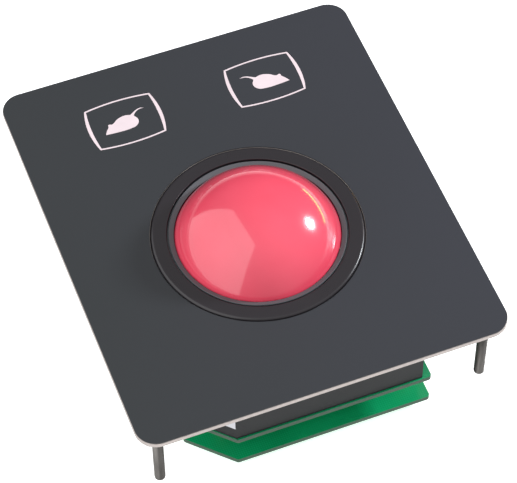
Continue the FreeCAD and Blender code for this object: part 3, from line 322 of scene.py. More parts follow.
air = world.node_tree
heading = air.nodes.new("ShaderNodeSeparateXYZ")
air.links.new(air.nodes.new("ShaderNodeTexCoord").outputs["Generated"], heading.inputs[0])
upward, backward = Signal(air, heading.outputs["Z"]), Signal(air, heading.outputs["Y"])
glow = upward.clipped(0, 1) * 0.50 - backward * 0.22 + 0.28
air.links.new(glow.socket, air.nodes["Background"].inputs["Strength"])

# %% [markdown]
# The front is a polyester foil with a very fine embossed grain, printed slate grey from behind. Its
# colour is painted a touch cooler and lighter towards the right edge, as painted cool light from
# that side, under a slow random tone. The same foil covers the keys, so the keys and the sheet
# share this finish.

# %% Foil finish


def make_foil():
    foil = Finish("foil", (0.022, 0.025, 0.030), 0.48)
    grain = foil.noise(9000, 2.0)
    slow = foil.noise(14, 3.0)
    # Painted light: the colour grows cooler and lighter towards the right edge, standing in for a cool
    # light from that side; the slow noise adds a random tone.
    across = foil.add("SeparateXYZ", inputs={"Vector": foil.place()}, output="X")
    painted_cool_light_and_tone = across.clipped(plate_low.x, plate_high.x) * 0.8 + slow * 0.4 - 0.1
    foil.set(
        Base_Color=foil.mix(painted_cool_light_and_tone, (0.0195, 0.0231, 0.0255), (0.0255, 0.0272, 0.0370)),
        Roughness=grain * 0.10 + slow * 0.08 + 0.42,
    )
    return foil.bump(grain, 6e-6, 0.6)


foil = make_foil()

# %% [markdown]
# The plate is rolled aluminium. Its cut edge shows as a pale warm line round the foil, and its
# back shows the rolling marks, which run along one direction as very long thin noise.

# %% Metal finishes


def brushed(name, colour, dark, roughness, scale=(900, 30, 900), relief=2e-6):
    metal = Finish(name, colour, roughness, Metallic=1.0)
    streaks = metal.noise(1.0, 4.0, where=metal.place(scale))
    patches = metal.noise(90, 2.0)
    metal.set(
        Base_Color=metal.mix(streaks.clipped(0.3, 0.7), dark, colour),
        Roughness=(streaks - 0.5) * 0.16 + (patches - 0.5) * 0.12 + roughness,
    )
    return metal.bump(streaks, relief)


aluminium = brushed("aluminium", (0.42, 0.375, 0.355), (0.33, 0.295, 0.28), 0.42)
zinc_steel = brushed("steel", (0.62, 0.62, 0.60), (0.46, 0.46, 0.45), 0.30, (400, 400, 60))
dark_steel = brushed("dark_steel", (0.19, 0.18, 0.17), (0.10, 0.095, 0.09), 0.32, (500, 500, 90))
ground_steel = brushed("shaft_steel", (0.72, 0.72, 0.72), (0.60, 0.60, 0.61), 0.16, (60, 900, 900))
spring_steel = brushed("spring_steel", (0.66, 0.65, 0.62), (0.52, 0.51, 0.49), 0.22)
can_metal = brushed("can_metal", (0.70, 0.70, 0.68), (0.60, 0.60, 0.58), 0.26, (200, 60, 200))
brass = brushed("brass", (0.75, 0.55, 0.25), (0.55, 0.38, 0.15), 0.28, (300, 300, 2500))
pin_gold = brushed("pin_gold", (0.86, 0.62, 0.22), (0.70, 0.48, 0.15), 0.22, (600, 100, 600))
solder = brushed("solder", (0.68, 0.68, 0.67), (0.50, 0.50, 0.50), 0.24, (300, 300, 300))

# %% [markdown]
# Moulded plastics differ mostly in gloss and in the depth of the tool's grain. One helper makes
# them all: the ring is satin, the housing has a coarse spark-eroded grain, the chips are matte.
# Foam, film, paper and ink are close enough to plastics to share it.

# %% Plastic finishes


GLOSS_SWING = 0.10


def moulded(name, colour, roughness, scale, relief, **plain):
    """A plastic whose fine grain shades its colour, its gloss and its surface."""
    finish = Finish(name, colour, roughness, **plain)
    dark = tuple(0.72 * c for c in colour)
    grain = finish.noise(scale, 3.0)
    slow = finish.noise(scale * 0.03, 2.0)
    finish.set(
        Base_Color=finish.mix(grain * 0.5 + slow * 0.5, dark, colour),
        Roughness=(grain - 0.5) * GLOSS_SWING + (slow - 0.5) * GLOSS_SWING + roughness,
    )
    return finish.bump(grain, relief)


ring_plastic = moulded("ring_plastic", (0.019, 0.016, 0.020), 0.30, 3500, 3e-6)
housing_plastic = moulded(
    "housing_plastic", (0.009, 0.0095, 0.011), 0.55, 2600, 1.4e-5, Specular_IOR_Level=0.22
)
disc_plastic = moulded("disc_plastic", (0.020, 0.020, 0.021), 0.45, 3000, 4e-6)
chip_plastic = moulded("chip_plastic", (0.026, 0.026, 0.028), 0.55, 5000, 6e-6)
seal_rubber = moulded("seal_rubber", (0.095, 0.103, 0.115), 0.42, 2400, 4e-6)
gasket_foam = moulded("gasket_foam", (0.022, 0.022, 0.023), 0.85, 1500, 6e-5)
roller_coat = moulded("roller_coat", (0.10, 0.10, 0.11), 0.60, 2600, 8e-6)
nylon = moulded("connector_plastic", (0.74, 0.71, 0.62), 0.42, 1800, 5e-6)
label_paper = moulded("label_paper", (0.62, 0.62, 0.66), 0.48, 2800, 3e-6)
film = moulded("film", (0.60, 0.62, 0.58), 0.25, 1200, 2e-6)
ink = moulded("key_ink", (0.86, 0.72, 0.76), 0.50, 6000, 3e-6)

# %% [markdown]
# The ball is cast from pigmented resin and polished. A clear coat carries the reflections.

# %% Ball finish


def make_ball_resin():
    resin = Finish("ball_resin", (0.815, 0.064, 0.116), 0.16, Coat_Weight=1.0, Coat_Roughness=0.05)
    cloud = resin.noise(55, 3.0)
    wear = resin.noise(900, 2.0)
    resin.set(
        Base_Color=resin.mix(cloud.clipped(0.35, 0.65), (0.78, 0.058, 0.108), (0.81, 0.070, 0.124)),
        Roughness=wear * 0.05 + cloud * 0.04 + 0.12,
    )
    return resin


ball_resin = make_ball_resin()

# %% [markdown]
# Solder mask is a thin glossy green lacquer over woven glass. The weave shows faintly through it
# as a fine crossed pattern, and the cut edge of the board shows the pale laminate instead.

# %% Board finishes


def make_mask():
    mask = Finish("board_green", (0.004, 0.30, 0.11), 0.26, Coat_Weight=0.4, Coat_Roughness=0.12)
    warp = mask.add("TexWave", {"bands_direction": "X"}, {"Vector": mask.place(), "Scale": 500.0})
    weft = mask.add("TexWave", {"bands_direction": "Y"}, {"Vector": mask.place(), "Scale": 500.0})
    weave = warp * 0.5 + weft * 0.5
    slow = mask.noise(40, 2.0)
    shade = weave * 0.35 + slow * 0.65
    mask.set(
        Base_Color=mask.mix(shade.clipped(0.3, 0.75), (0.003, 0.255, 0.095), (0.006, 0.39, 0.155)),
        Roughness=slow * 0.12 + 0.20,
    )
    return mask.bump(weave, 3e-6)


board_mask = make_mask()
laminate = moulded("board_edge", (0.024, 0.075, 0.040), 0.6, 2500, 1e-5)
track_mask = moulded("track_mask", (0.025, 0.56, 0.25), 0.24, 900, 1e-6, Coat_Weight=0.4)
sleeve = moulded("capacitor_sleeve", (0.012, 0.016, 0.060), 0.28, 1500, 2e-6)

# %% [markdown]
# Every finished piece goes through one door. It gets its mesh, its finish, the CAD body that it
# moves with, and the CAD nodes that it stands for.

# %% Finishing a piece


def finished(name, bm, finish, node=None, body=None, smooth=35, extra=(), bends=None):
    """An object from a bmesh. node is the CAD node it replaces, or none for an added detail.

    bends, when given, attaches the piece to no body and bakes its place into its mesh; the two bodies
    and two points in it are not used."""
    mesh = bpy.data.meshes.new(name)
    bm.to_mesh(mesh)
    bm.free()
    mesh.materials.append(finish.material)
    for other in extra:
        mesh.materials.append(other.material)
    if smooth:
        mesh.polygons.foreach_set("use_smooth", [True] * len(mesh.polygons))
        mesh.set_sharp_from_angle(angle=math.radians(smooth))
    thing = bpy.data.objects.new(name, mesh)
    bpy.context.scene.collection.objects.link(thing)
    if smooth:
        even = thing.modifiers.new("even_normals", "WEIGHTED_NORMAL")
        even.keep_sharp = True
    if bends:
        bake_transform(thing)
    else:
        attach(thing, body or BODY_OF[node])
    if node:
        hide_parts(node)
    return thing


def close_shell(bm):
    """Merge doubles and turn every face outwards."""
    bmesh.ops.remove_doubles(bm, verts=bm.verts, dist=1e-7)
    bmesh.ops.recalc_face_normals(bm, faces=bm.faces)


# %% [markdown]
# Most CAD nodes already have the right shape, but their edges are knife sharp, and real edges
# catch the light. A copy of such a node is merged, its flat areas are joined into single faces,
# and its sharp edges are bevelled by a few hundredths of a millimetre.

# %% Softened copies of CAD nodes


def copied(node):
    """A bmesh copy of a CAD node with merged corners and whole flat faces."""
    bm = bmesh.new()
    bm.from_mesh(frame["nodes"][node].data)
    bmesh.ops.remove_doubles(bm, verts=bm.verts, dist=2e-6)
    bmesh.ops.dissolve_limit(
        bm, angle_limit=math.radians(0.5), verts=bm.verts, edges=bm.edges, delimit={"NORMAL"}
    )
    return bm


def soften(bm, width, angle=35):
    """Bevel the edges whose faces meet at more than that angle."""
    sharp = [
        e
        for e in bm.edges
        if len(e.link_faces) == 2 and e.calc_face_angle(0) > math.radians(angle)
    ]
    bmesh.ops.bevel(
        bm,
        geom=sharp,
        offset=width,
        offset_type="OFFSET",
        affect="EDGES",
        segments=2,
        profile=0.5,
        material=-1,
        clamp_overlap=True,
    )
    return bm


def refined(node, finish, width, angle=35, name=None):
    """A CAD node's own shape with softened edges and its finish."""
    bm = soften(copied(node), width, angle)
    piece = finished(name or node + "_piece", bm, finish, node)
    print(node, "softened:", len(piece.data.polygons), "faces")


# %% [markdown]
# Round parts are turned on a lathe: a half profile of radii and heights is spun once about the
# axis. The spin merges its last copy with its first, so the wall is closed.

# %% Lathe


def lathe(bm, profile, steps, axis=Vector(), closed=True):
    """Spin (radius, height) points about a vertical axis. A closed profile comes back to its start."""
    verts = [bm.verts.new((axis.x + r, axis.y, h)) for r, h in profile]
    loop = verts + verts[:1] if closed else verts
    edges = [bm.edges.new(pair) for pair in zip(loop, loop[1:])]
    bmesh.ops.spin(
        bm,
        geom=verts + edges,
        cent=axis,
        axis=Z,
        angle=math.tau,
        steps=steps,
        use_merge=True,
    )


def arc(centre, radius, start, end, count):
    """Points on a circle from one angle to another, in degrees."""
    for i in range(count + 1):
        turn = math.radians(start + (end - start) * i / count)
        yield centre[0] + radius * math.cos(turn), centre[1] + radius * math.sin(turn)


# %% [markdown]
# The ball is a perfect sphere, so an icosphere with equal triangles shows no poles when it rolls.

# %% Ball

bm = bmesh.new()
bmesh.ops.create_icosphere(
    bm, subdivisions=6, radius=ball_radius, matrix=Matrix.Translation(ball_centre)
)
ball = finished("ball_sphere", bm, ball_resin, "ball", smooth=60)
print("ball:", len(ball.data.polygons), "faces")

# %% [markdown]
# The retaining ring stands a little proud of the foil with a well rounded outer edge, and its bore
# falls away to a ledge that carries the wiper. A groove holds the O-ring that seals it in the
# plate's hole. Under the plate it goes on as a skirt, and three lugs on the skirt turn under the
# housing's tabs. Each lug is a short arc of a wider ring, so it is spun through its own angle.

# %% Retaining ring

ring_low, ring_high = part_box("retaining_ring")
ring_top, skirt_foot = ring_high.z, ring_low.z
oring_level = middle("ring_o_ring").z
FLANGE = 29.25 * MM
BORE = 24.9 * MM
LEDGE = 23.9 * MM
LEDGE_TOP, LEDGE_FOOT, LEDGE_TAPER = 0.55 * MM, -0.6 * MM, -1.6 * MM
GROOVE, GROOVE_HALF = 28.3 * MM, 0.6 * MM
OUTER_EDGE, INNER_EDGE, FOOT_EDGE = 0.85 * MM, 0.25 * MM, 0.2 * MM
LUG_ROOT, LUG_RADIUS, LUG_TOP = BORE + MM, 31.0 * MM, -2.5 * MM
LUG_ANGLE, LUG_STEPS, LUGS = 30, 12, 3
RING_STEPS = 192


def make_ring():
    profile = [
        (BORE, skirt_foot),
        (FLANGE - FOOT_EDGE, skirt_foot),
        (FLANGE, skirt_foot + FOOT_EDGE),
        (FLANGE, oring_level - GROOVE_HALF),
        (GROOVE, oring_level - GROOVE_HALF),
        (GROOVE, oring_level + GROOVE_HALF),
        *arc((FLANGE - OUTER_EDGE, ring_top - OUTER_EDGE), OUTER_EDGE, 0, 90, 8),
        *arc((BORE + INNER_EDGE, ring_top - INNER_EDGE), INNER_EDGE, 90, 180, 4),
        (BORE, LEDGE_TOP),
        (LEDGE, LEDGE_TOP),
        (LEDGE, LEDGE_FOOT),
        (BORE, LEDGE_TAPER),
    ]
    bm = bmesh.new()
    lathe(bm, profile, RING_STEPS, ring_axis)
    width, height = LUG_RADIUS - LUG_ROOT, LUG_TOP - skirt_foot
    for i in range(LUGS):
        block = bmesh.ops.create_grid(bm, x_segments=1, y_segments=1, size=0.5)["verts"]
        bmesh.ops.scale(bm, verts=block, vec=(width, height, 1))
        bmesh.ops.rotate(bm, verts=block, matrix=Matrix.Rotation(math.pi / 2, 3, "X"))
        centre = Vector((LUG_RADIUS - width / 2, 0, skirt_foot + height / 2)) + ring_axis
        bmesh.ops.translate(bm, verts=block, vec=centre)
        start = Matrix.Rotation(math.tau * i / LUGS, 3, "Z")
        bmesh.ops.rotate(bm, verts=block, cent=ring_axis, matrix=start)
        face = [f for f in bm.faces if set(f.verts) == set(block)]
        bmesh.ops.spin(
            bm,
            geom=face,
            cent=ring_axis,
            axis=Z,
            angle=math.radians(LUG_ANGLE),
            steps=LUG_STEPS,
            use_merge=False,
        )
    close_shell(bm)
    return finished("bezel_ring", bm, ring_plastic, "retaining_ring", smooth=30)


bezel = make_ring()
print("ring:", len(bezel.data.polygons), "faces; its top is at", round(ring_top / MM, 2), "mm")

# %% [markdown]
# The wiper is a soft grey lip between the ring and the ball. A narrow groove parts it from the
# ring, its top slopes down to the ball, and its edge is rounded so that it rubs without scratching.

# %% Wiper seal

LIP_OUTER, LIP_EDGE, LIP_LEVEL, LIP_FOOT = 24.85 * MM, 22.95 * MM, 1.5 * MM, 0.6 * MM
LIP_ROUND, LIP_CREST, LIP_THICKNESS = 0.18 * MM, 0.12 * MM, 1.05 * MM
SHOULDER, GROOVE_LEVEL = 24.4 * MM, 1.2 * MM
SHOULDER_DROP, SHOULDER_EDGE = 0.22 * MM, (0.12 * MM, 0.13 * MM)


def make_wiper():
    shoulder_top = ring_top - SHOULDER_DROP
    profile = [
        (LIP_OUTER, LIP_FOOT),
        (LIP_OUTER, GROOVE_LEVEL),
        (SHOULDER, GROOVE_LEVEL),
        (SHOULDER, shoulder_top - SHOULDER_EDGE[1]),
        (SHOULDER - SHOULDER_EDGE[0], shoulder_top),
        *arc((LIP_EDGE + LIP_ROUND, LIP_LEVEL - LIP_CREST), LIP_ROUND, 105, 220, 6),
        (LIP_EDGE + LIP_THICKNESS, LIP_FOOT),
    ]
    bm = bmesh.new()
    lathe(bm, profile, RING_STEPS, ring_axis)
    close_shell(bm)
    piece = finished("wiper_lip", bm, seal_rubber, "wiper_seal", smooth=40)
    print("wiper:", len(piece.data.polygons), "faces")


make_wiper()

# %% [markdown]
# The plate and the foil only need softer edges: the plate's are deburred, and the foil's are die
# cut. The keys are cut from the same foil, so they get the same treatment.

# %% Plate, foil and keys

refined("front_plate", aluminium, 0.12 * MM)
refined("overlay_foil", foil, 0.04 * MM)
KEYS = ("left_key", "right_key")
for key in KEYS:
    refined(key, foil, 0.03 * MM)

# %% [markdown]
# Each key shows a printed frame and a small animal with a long tail, the plain joke for a pointing
# device. The print is ink only a few hundredths of a millimetre thick, so a flat shape is laid on
# the key's face and extruded by that much.

# %% Ink on a key

INK = 0.02 * MM


def print_on_key(bm, faces, key, name):
    """Face flat shapes upwards, lay them on a key's middle and give them the ink's thickness."""
    bmesh.ops.recalc_face_normals(bm, faces=faces)
    for face in faces:
        if face.normal.z < 0:
            face.normal_flip()
    centre = middle(key)
    bmesh.ops.translate(bm, verts=bm.verts, vec=(centre.x, centre.y, top(key)))
    grown = bmesh.ops.extrude_face_region(bm, geom=faces)["geom"]
    raised = [v for v in grown if isinstance(v, bmesh.types.BMVert)]
    bmesh.ops.translate(bm, verts=raised, vec=(0, 0, INK))
    bmesh.ops.recalc_face_normals(bm, faces=bm.faces)
    piece = finished(name, bm, ink, body=BODY_OF[key], smooth=0)
    print(name, "printed:", len(piece.data.polygons), "faces")


# %% [markdown]
# The frame is drawn as two outlines with bowed sides: the rim between them is thin along the long
# sides and swells in the middle of the short ones. The gap between the outlines is bridged.

# %% Key frames

KEY_HALF = (9.75 * MM, 7.35 * MM)
BOW_OUT, BULGE_OUT = 0.8 * MM, 1.15 * MM
BOW_IN, BULGE_IN = 0.75 * MM, 0.55 * MM
RIM = 0.42 * MM


def bowed_rectangle(half_width, half_depth, bow, bulge, steps=16):
    """Corner points joined by shallow parabolas: bow on the long sides, bulge on the short ones."""
    points = []
    for i in range(steps):
        t = 2 * i / steps - 1
        points.append((t * half_width, -half_depth - bow * (1 - t * t)))
    for i in range(steps):
        t = 2 * i / steps - 1
        points.append((half_width + bulge * (1 - t * t), t * half_depth))
    return points + [(-x, -y) for x, y in points]


def make_key_frame(key):
    bm = bmesh.new()
    loops = []
    outer = bowed_rectangle(*KEY_HALF, BOW_OUT, BULGE_OUT)
    inner = bowed_rectangle(KEY_HALF[0] - RIM, KEY_HALF[1] - RIM, BOW_IN, BULGE_IN)
    for points in (outer, inner):
        verts = [bm.verts.new((x, y, 0)) for x, y in points]
        loops += [bm.edges.new(pair) for pair in zip(verts, verts[1:] + verts[:1])]
    faces = bmesh.ops.bridge_loops(bm, edges=loops)["faces"]
    print_on_key(bm, faces, key, key + "_frame")


for key in KEYS:
    make_key_frame(key)

# %% [markdown]
# The animal is one closed curve through a few handles: nose, brow, ear, back, out along
# the tail and back, rump and belly. Blender fills a flat curve by itself, and the result becomes a
# mesh before it is put in its place.

# %% Key animals


def filled_curve(points, smooth):
    """Vertices and faces of a flat closed curve through points, in millimetres."""
    data = bpy.data.curves.new("outline", "CURVE")
    data.dimensions = "2D"
    data.fill_mode = "BOTH"
    data.resolution_u = 8
    spline = data.splines.new("BEZIER")
    spline.bezier_points.add(len(points) - 1)
    for point, place, soft in zip(spline.bezier_points, points, smooth):
        point.co = (place[0] * MM, place[1] * MM, 0)
        point.handle_left_type = point.handle_right_type = "AUTO" if soft else "VECTOR"
    spline.use_cyclic_u = True
    thing = bpy.data.objects.new("outline", data)
    bpy.context.scene.collection.objects.link(thing)
    bpy.context.view_layer.update()
    mesh = bpy.data.meshes.new_from_object(thing.evaluated_get(bpy.context.evaluated_depsgraph_get()))
    bpy.data.objects.remove(thing)
    bpy.data.curves.remove(data)
    return mesh


ANIMAL = [
    ((-6.6, -2.75), False),
    ((-5.9, -1.5), True),
    ((-5.0, -0.3), True),
    ((-4.9, 0.35), True),
    ((-4.4, 0.45), True),
    ((-3.9, 0.25), True),
    ((-1.8, 1.5), True),
    ((0.5, 2.05), True),
    ((2.1, 1.7), False),
    ((3.2, 2.3), True),
    ((4.3, 2.9), True),
    ((5.4, 3.15), True),
    ((6.6, 2.85), False),
    ((5.4, 2.85), True),
    ((4.4, 2.5), True),
    ((3.5, 1.8), True),
    ((3.0, 1.15), False),
    ((3.75, -0.8), True),
    ((2.7, -2.5), True),
    ((0.8, -3.0), True),
    ((-3.6, -3.0), True),
]


def make_animal(key):
    """The animal on a key; the right key's one looks the other way."""
    bm = bmesh.new()
    places, soft = zip(*ANIMAL)
    bm.from_mesh(filled_curve(places, soft))
    bmesh.ops.remove_doubles(bm, verts=bm.verts, dist=1e-7)
    if key == "right_key":
        bmesh.ops.scale(bm, verts=bm.verts, vec=(-1, 1, 1))
    print_on_key(bm, bm.faces[:], key, key + "_animal")


for key in KEYS:
    make_animal(key)

# %% [markdown]
# Screw threads are a helix. One tooth of the profile, exactly one pitch tall, is spun about the
# axis while it also climbs, so each turn ends where the next begins and the seams merge. The two
# ragged ends are cut flat with a plane, filled, and the tip is drawn in to a rounded point.

# %% Threaded studs


def islands(node):
    """The box of each separate solid in a CAD node, in order of its centre."""
    bm = bmesh.new()
    bm.from_mesh(frame["nodes"][node].data)
    bmesh.ops.remove_doubles(bm, verts=bm.verts, dist=2e-6)
    waiting, boxes = set(bm.verts), []
    while waiting:
        reached, seen = [waiting.pop()], []
        while reached:
            vert = reached.pop()
            seen.append(vert.co.copy())
            near = {e.other_vert(vert) for e in vert.link_edges} & waiting
            waiting -= near
            reached += near
        low = Vector([min(c[i] for c in seen) for i in range(3)])
        high = Vector([max(c[i] for c in seen) for i in range(3)])
        boxes.append((low, high))
    bm.free()
    return sorted(boxes, key=lambda b: tuple(round(c, 5) for c in b[0] + b[1]))


STUD_PITCH, STUD_TIP = 0.5 * MM, 0.7 * MM
TURN_STEPS = 20
TIP_DRAW = 0.55


def add_thread(bm, foot_point, radius, pitch, height, tip):
    """A threaded rod standing on foot_point, with its tip at the foot."""
    core = radius - 0.6 * pitch
    tooth = [(core, 0), (radius, 0.40 * pitch), (radius, 0.55 * pitch), (core, 0.95 * pitch)]
    tooth.append((core, pitch))
    turns = math.ceil(height / pitch) + 2
    start = foot_point - Z * pitch
    verts = [bm.verts.new(start + Vector((r, 0, h))) for r, h in tooth]
    edges = [bm.edges.new(pair) for pair in zip(verts, verts[1:])]
    before = set(bm.verts) - set(verts)
    bmesh.ops.spin(
        bm,
        geom=verts + edges,
        cent=start,
        axis=Z,
        dvec=Z * pitch / TURN_STEPS,
        angle=math.tau * turns,
        steps=TURN_STEPS * turns,
    )
    fresh = [v for v in bm.verts if v not in before]
    bmesh.ops.remove_doubles(bm, verts=fresh, dist=1e-6)
    for level, side in ((foot_point.z, -1), (foot_point.z + height, 1)):
        fresh = [v for v in bm.verts if v not in before]
        geom = fresh + list({e for v in fresh for e in v.link_edges})
        geom += list({f for v in fresh for f in v.link_faces})
        cut = bmesh.ops.bisect_plane(
            bm,
            geom=geom,
            plane_co=(0, 0, level),
            plane_no=Z * side,
            clear_outer=True,
            dist=1e-7,
        )["geom_cut"]
        rim = [e for e in cut if isinstance(e, bmesh.types.BMEdge)]
        bmesh.ops.holes_fill(bm, edges=rim, sides=0)
    for vert in [v for v in bm.verts if v not in before]:
        rise = vert.co.z - foot_point.z
        if rise < tip:
            share = 1 - TIP_DRAW * (1 - rise / tip) ** 2
            vert.co.x = foot_point.x + (vert.co.x - foot_point.x) * share
            vert.co.y = foot_point.y + (vert.co.y - foot_point.y) * share


def make_studs():
    bm = bmesh.new()
    for low, high in islands("mounting_studs"):
        centre = (low + high) / 2
        base = Vector((centre.x, centre.y, low.z))
        add_thread(bm, base, (high.x - low.x) / 2, STUD_PITCH, high.z - low.z, STUD_TIP)
    close_shell(bm)
    piece = finished("threaded_studs", bm, dark_steel, "mounting_studs", smooth=25)
    print("studs:", len(piece.data.polygons), "faces")


make_studs()

# %% [markdown]
# Behind the panel, the housing, the cup and the small mechanical parts keep their CAD shapes. What
# they lack is the rounding that a mould or a lathe leaves, wide on the housing and fine on steel.

# %% Housing and mechanism

refined("trackball_housing", housing_plastic, 0.35 * MM, angle=50)
refined("serial_label", label_paper, 0.03 * MM)
refined("panel_gasket", gasket_foam, 0.25 * MM)
refined("ball_cup", housing_plastic, 0.12 * MM, angle=50)
for node, finish, width in (
    ("ring_o_ring", seal_rubber, 0),
    ("housing_seal", gasket_foam, 0.1),
    ("bearing_caps", housing_plastic, 0.15),
    ("idler_arm", housing_plastic, 0.12),
    ("key_membrane", film, 0.03),
    ("key_spacer", film, 0.05),
    ("idler_clip", spring_steel, 0.08),
    ("shaft_bearings", zinc_steel, 0.15),
    ("x_inner_races", zinc_steel, 0.1),
    ("y_inner_races", zinc_steel, 0.1),
    ("x_shaft", ground_steel, 0.2),
    ("y_shaft", ground_steel, 0.2),
    ("idler_pin", ground_steel, 0.15),
    ("idler_pivot_pin", ground_steel, 0.2),
    ("x_roller", roller_coat, 0.3),
    ("y_roller", roller_coat, 0.3),
    ("idler_roller", roller_coat, 0.3),
    ("x_encoder_disc", disc_plastic, 0.04),
    ("y_encoder_disc", disc_plastic, 0.04),
    ("x_sensor", chip_plastic, 0.15),
    ("y_sensor", chip_plastic, 0.15),
    ("housing_studs", zinc_steel, 0.12),
    ("housing_washers", zinc_steel, 0.08),
    ("housing_nuts", zinc_steel, 0.12),
    ("board_spacers", brass, 0.18),
    ("host_connector", nylon, 0.2),
    ("host_connector_pins", pin_gold, 0.18),
):
    if width:
        refined(node, finish, width * MM)
    else:
        finished(node + "_piece", copied(node), finish, node, smooth=40)

# %% [markdown]
# Two kinds of spring change shape when something moves. A dome under a key snaps flat as the key
# comes down; each dome gets a mesh of its own. The leaf behind the idler is held in a post at one
# end and pushed by the lever at the other; it is divided along its length, and its place is baked
# into its mesh.

# %% Springs

LEAF_CUTS, CLAMP_SHARE = 16, 0.15

for side in ("left", "right"):
    node = side + "_dome"
    dome = finished(node + "_piece", copied(node), spring_steel, node, smooth=40)
    seat = middle(node)
    seat.z = foot(node)
    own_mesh(dome)


def make_leaf():
    bm = copied("idler_spring")
    lengthways = [e for e in bm.edges if e.calc_length() > 10 * MM]
    bmesh.ops.subdivide_edges(bm, edges=lengthways, cuts=LEAF_CUTS, use_grid_fill=True)
    low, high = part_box("idler_spring")
    post_end, free_end = Vector((low.x, high.y, low.z)), Vector((high.x, low.y, low.z))
    clamp = post_end.lerp(free_end, CLAMP_SHARE)
    bends = ("module", "idler_lever", clamp, free_end)
    finished("idler_leaf", bm, spring_steel, "idler_spring", smooth=0, bends=bends)
    print("leaf:", round((free_end - post_end).length / MM, 1), "mm long")


make_leaf()

# %% [markdown]
# A printed board is a sandwich: green lacquer over both faces, and bare pale laminate where it was
# cut. The faces that look sideways get the second material.

# %% Boards

UNDER = foot("controller_board")
DECK = top("controller_board")
BOARD_EDGE = 0.06 * MM


def make_board(node, name):
    bm = soften(copied(node), BOARD_EDGE)
    for face in bm.faces:
        face.material_index = 1 if abs(face.normal.z) < 0.5 else 0
    finished(name, bm, board_mask, node, extra=[laminate])


make_board("encoder_board", "upper_circuit_board")
make_board("controller_board", "lower_circuit_board")
print("board faces at", round(DECK / MM, 2), "and", round(UNDER / MM, 2), "mm")

# %% [markdown]
# Leads and copper tracks are both flat strips that follow a path. A single edge is extruded from
# point to point and then thickened. A lead keeps its width along one direction. A track turns in
# the plane of the board, so at each corner its edge is laid along the mitre.

# %% Strips


def add_lead(bm, path, across, width, thickness):
    """A strip of metal along a path, flat along the direction across."""
    half = across * width / 2
    rows = [(place + half, place - half) for place in path]
    verts = [[bm.verts.new(end) for end in row] for row in rows]
    edges = [bm.edges.new(row) for row in verts]
    faces = []
    for first, second in zip(edges, edges[1:]):
        faces += bmesh.ops.bridge_loops(bm, edges=[first, second])["faces"]
    bmesh.ops.recalc_face_normals(bm, faces=faces)
    bmesh.ops.solidify(bm, geom=faces, thickness=thickness)


def add_track(bm, points, width, level, rise):
    """A flat track through points of the board's plane, raised by rise (down if negative)."""
    points = [Vector((x * MM, y * MM, level)) for x, y in points]
    runs = [(b - a).normalized() for a, b in zip(points, points[1:])]
    edges = []
    for i, point in enumerate(points):
        along = (runs[max(i - 1, 0)] + runs[min(i, len(runs) - 1)]).normalized()
        square = Z.cross(runs[min(i, len(runs) - 1)])
        mitre = Z.cross(along)
        mitre *= width * MM / 2 / max(mitre.dot(square), 0.5)
        edges.append(bm.edges.new([bm.verts.new(point + mitre), bm.verts.new(point - mitre)]))
    faces = []
    for first, second in zip(edges, edges[1:]):
        faces += bmesh.ops.bridge_loops(bm, edges=[first, second])["faces"]
    grown = bmesh.ops.extrude_face_region(bm, geom=faces)["geom"]
    raised = [g for g in grown if isinstance(g, bmesh.types.BMVert)]
    bmesh.ops.translate(bm, verts=raised, vec=(0, 0, rise))


def add_disc(bm, x, y, radius, level, rise, steps):
    """A thin disc on a level, raised by rise (down if negative)."""
    centre = Matrix.Translation((x * MM, y * MM, level + rise / 2))
    bmesh.ops.create_cone(
        bm,
        cap_ends=True,
        segments=steps,
        radius1=radius * MM,
        radius2=radius * MM,
        depth=abs(rise),
        matrix=centre,
    )


# %% [markdown]
# The underside is what a fitter sees when the panel is lifted out: soldered pins in rows, tracks
# that leave them in parallel and turn at 45 degrees, and a broad earth track round the edge. Every
# row of pins comes from a loop, and each bus of tracks is one loop too. The places on the board are
# in millimetres.

# %% Solder side

COPPER = 0.05 * MM
SOLDER_STEPS = 14
PINS_HOST = [(11.5 + 2.5 * i, 28.6) for i in range(5)]
LINK_ROWS = (29.73, 32.27)
PINS_LINK = [(x, -6.75 + 2.54 * i) for x in LINK_ROWS for i in range(6)]
PINS_CAPACITOR = [(x + dx, y) for x, y in ((16, -37), (9, -38.5)) for dx in (-1, 1)]
PINS_CRYSTAL = [(-6.94, 22), (-2.06, 22)]


def bend(start, turn_level, end_x, end_level):
    """Straight along Y, across at 45 degrees, and straight on."""
    x, y = start
    way = 1 if end_level > y else -1
    shift = abs(end_x - x)
    return [start, (x, turn_level), (end_x, turn_level + way * shift), (end_x, end_level)]


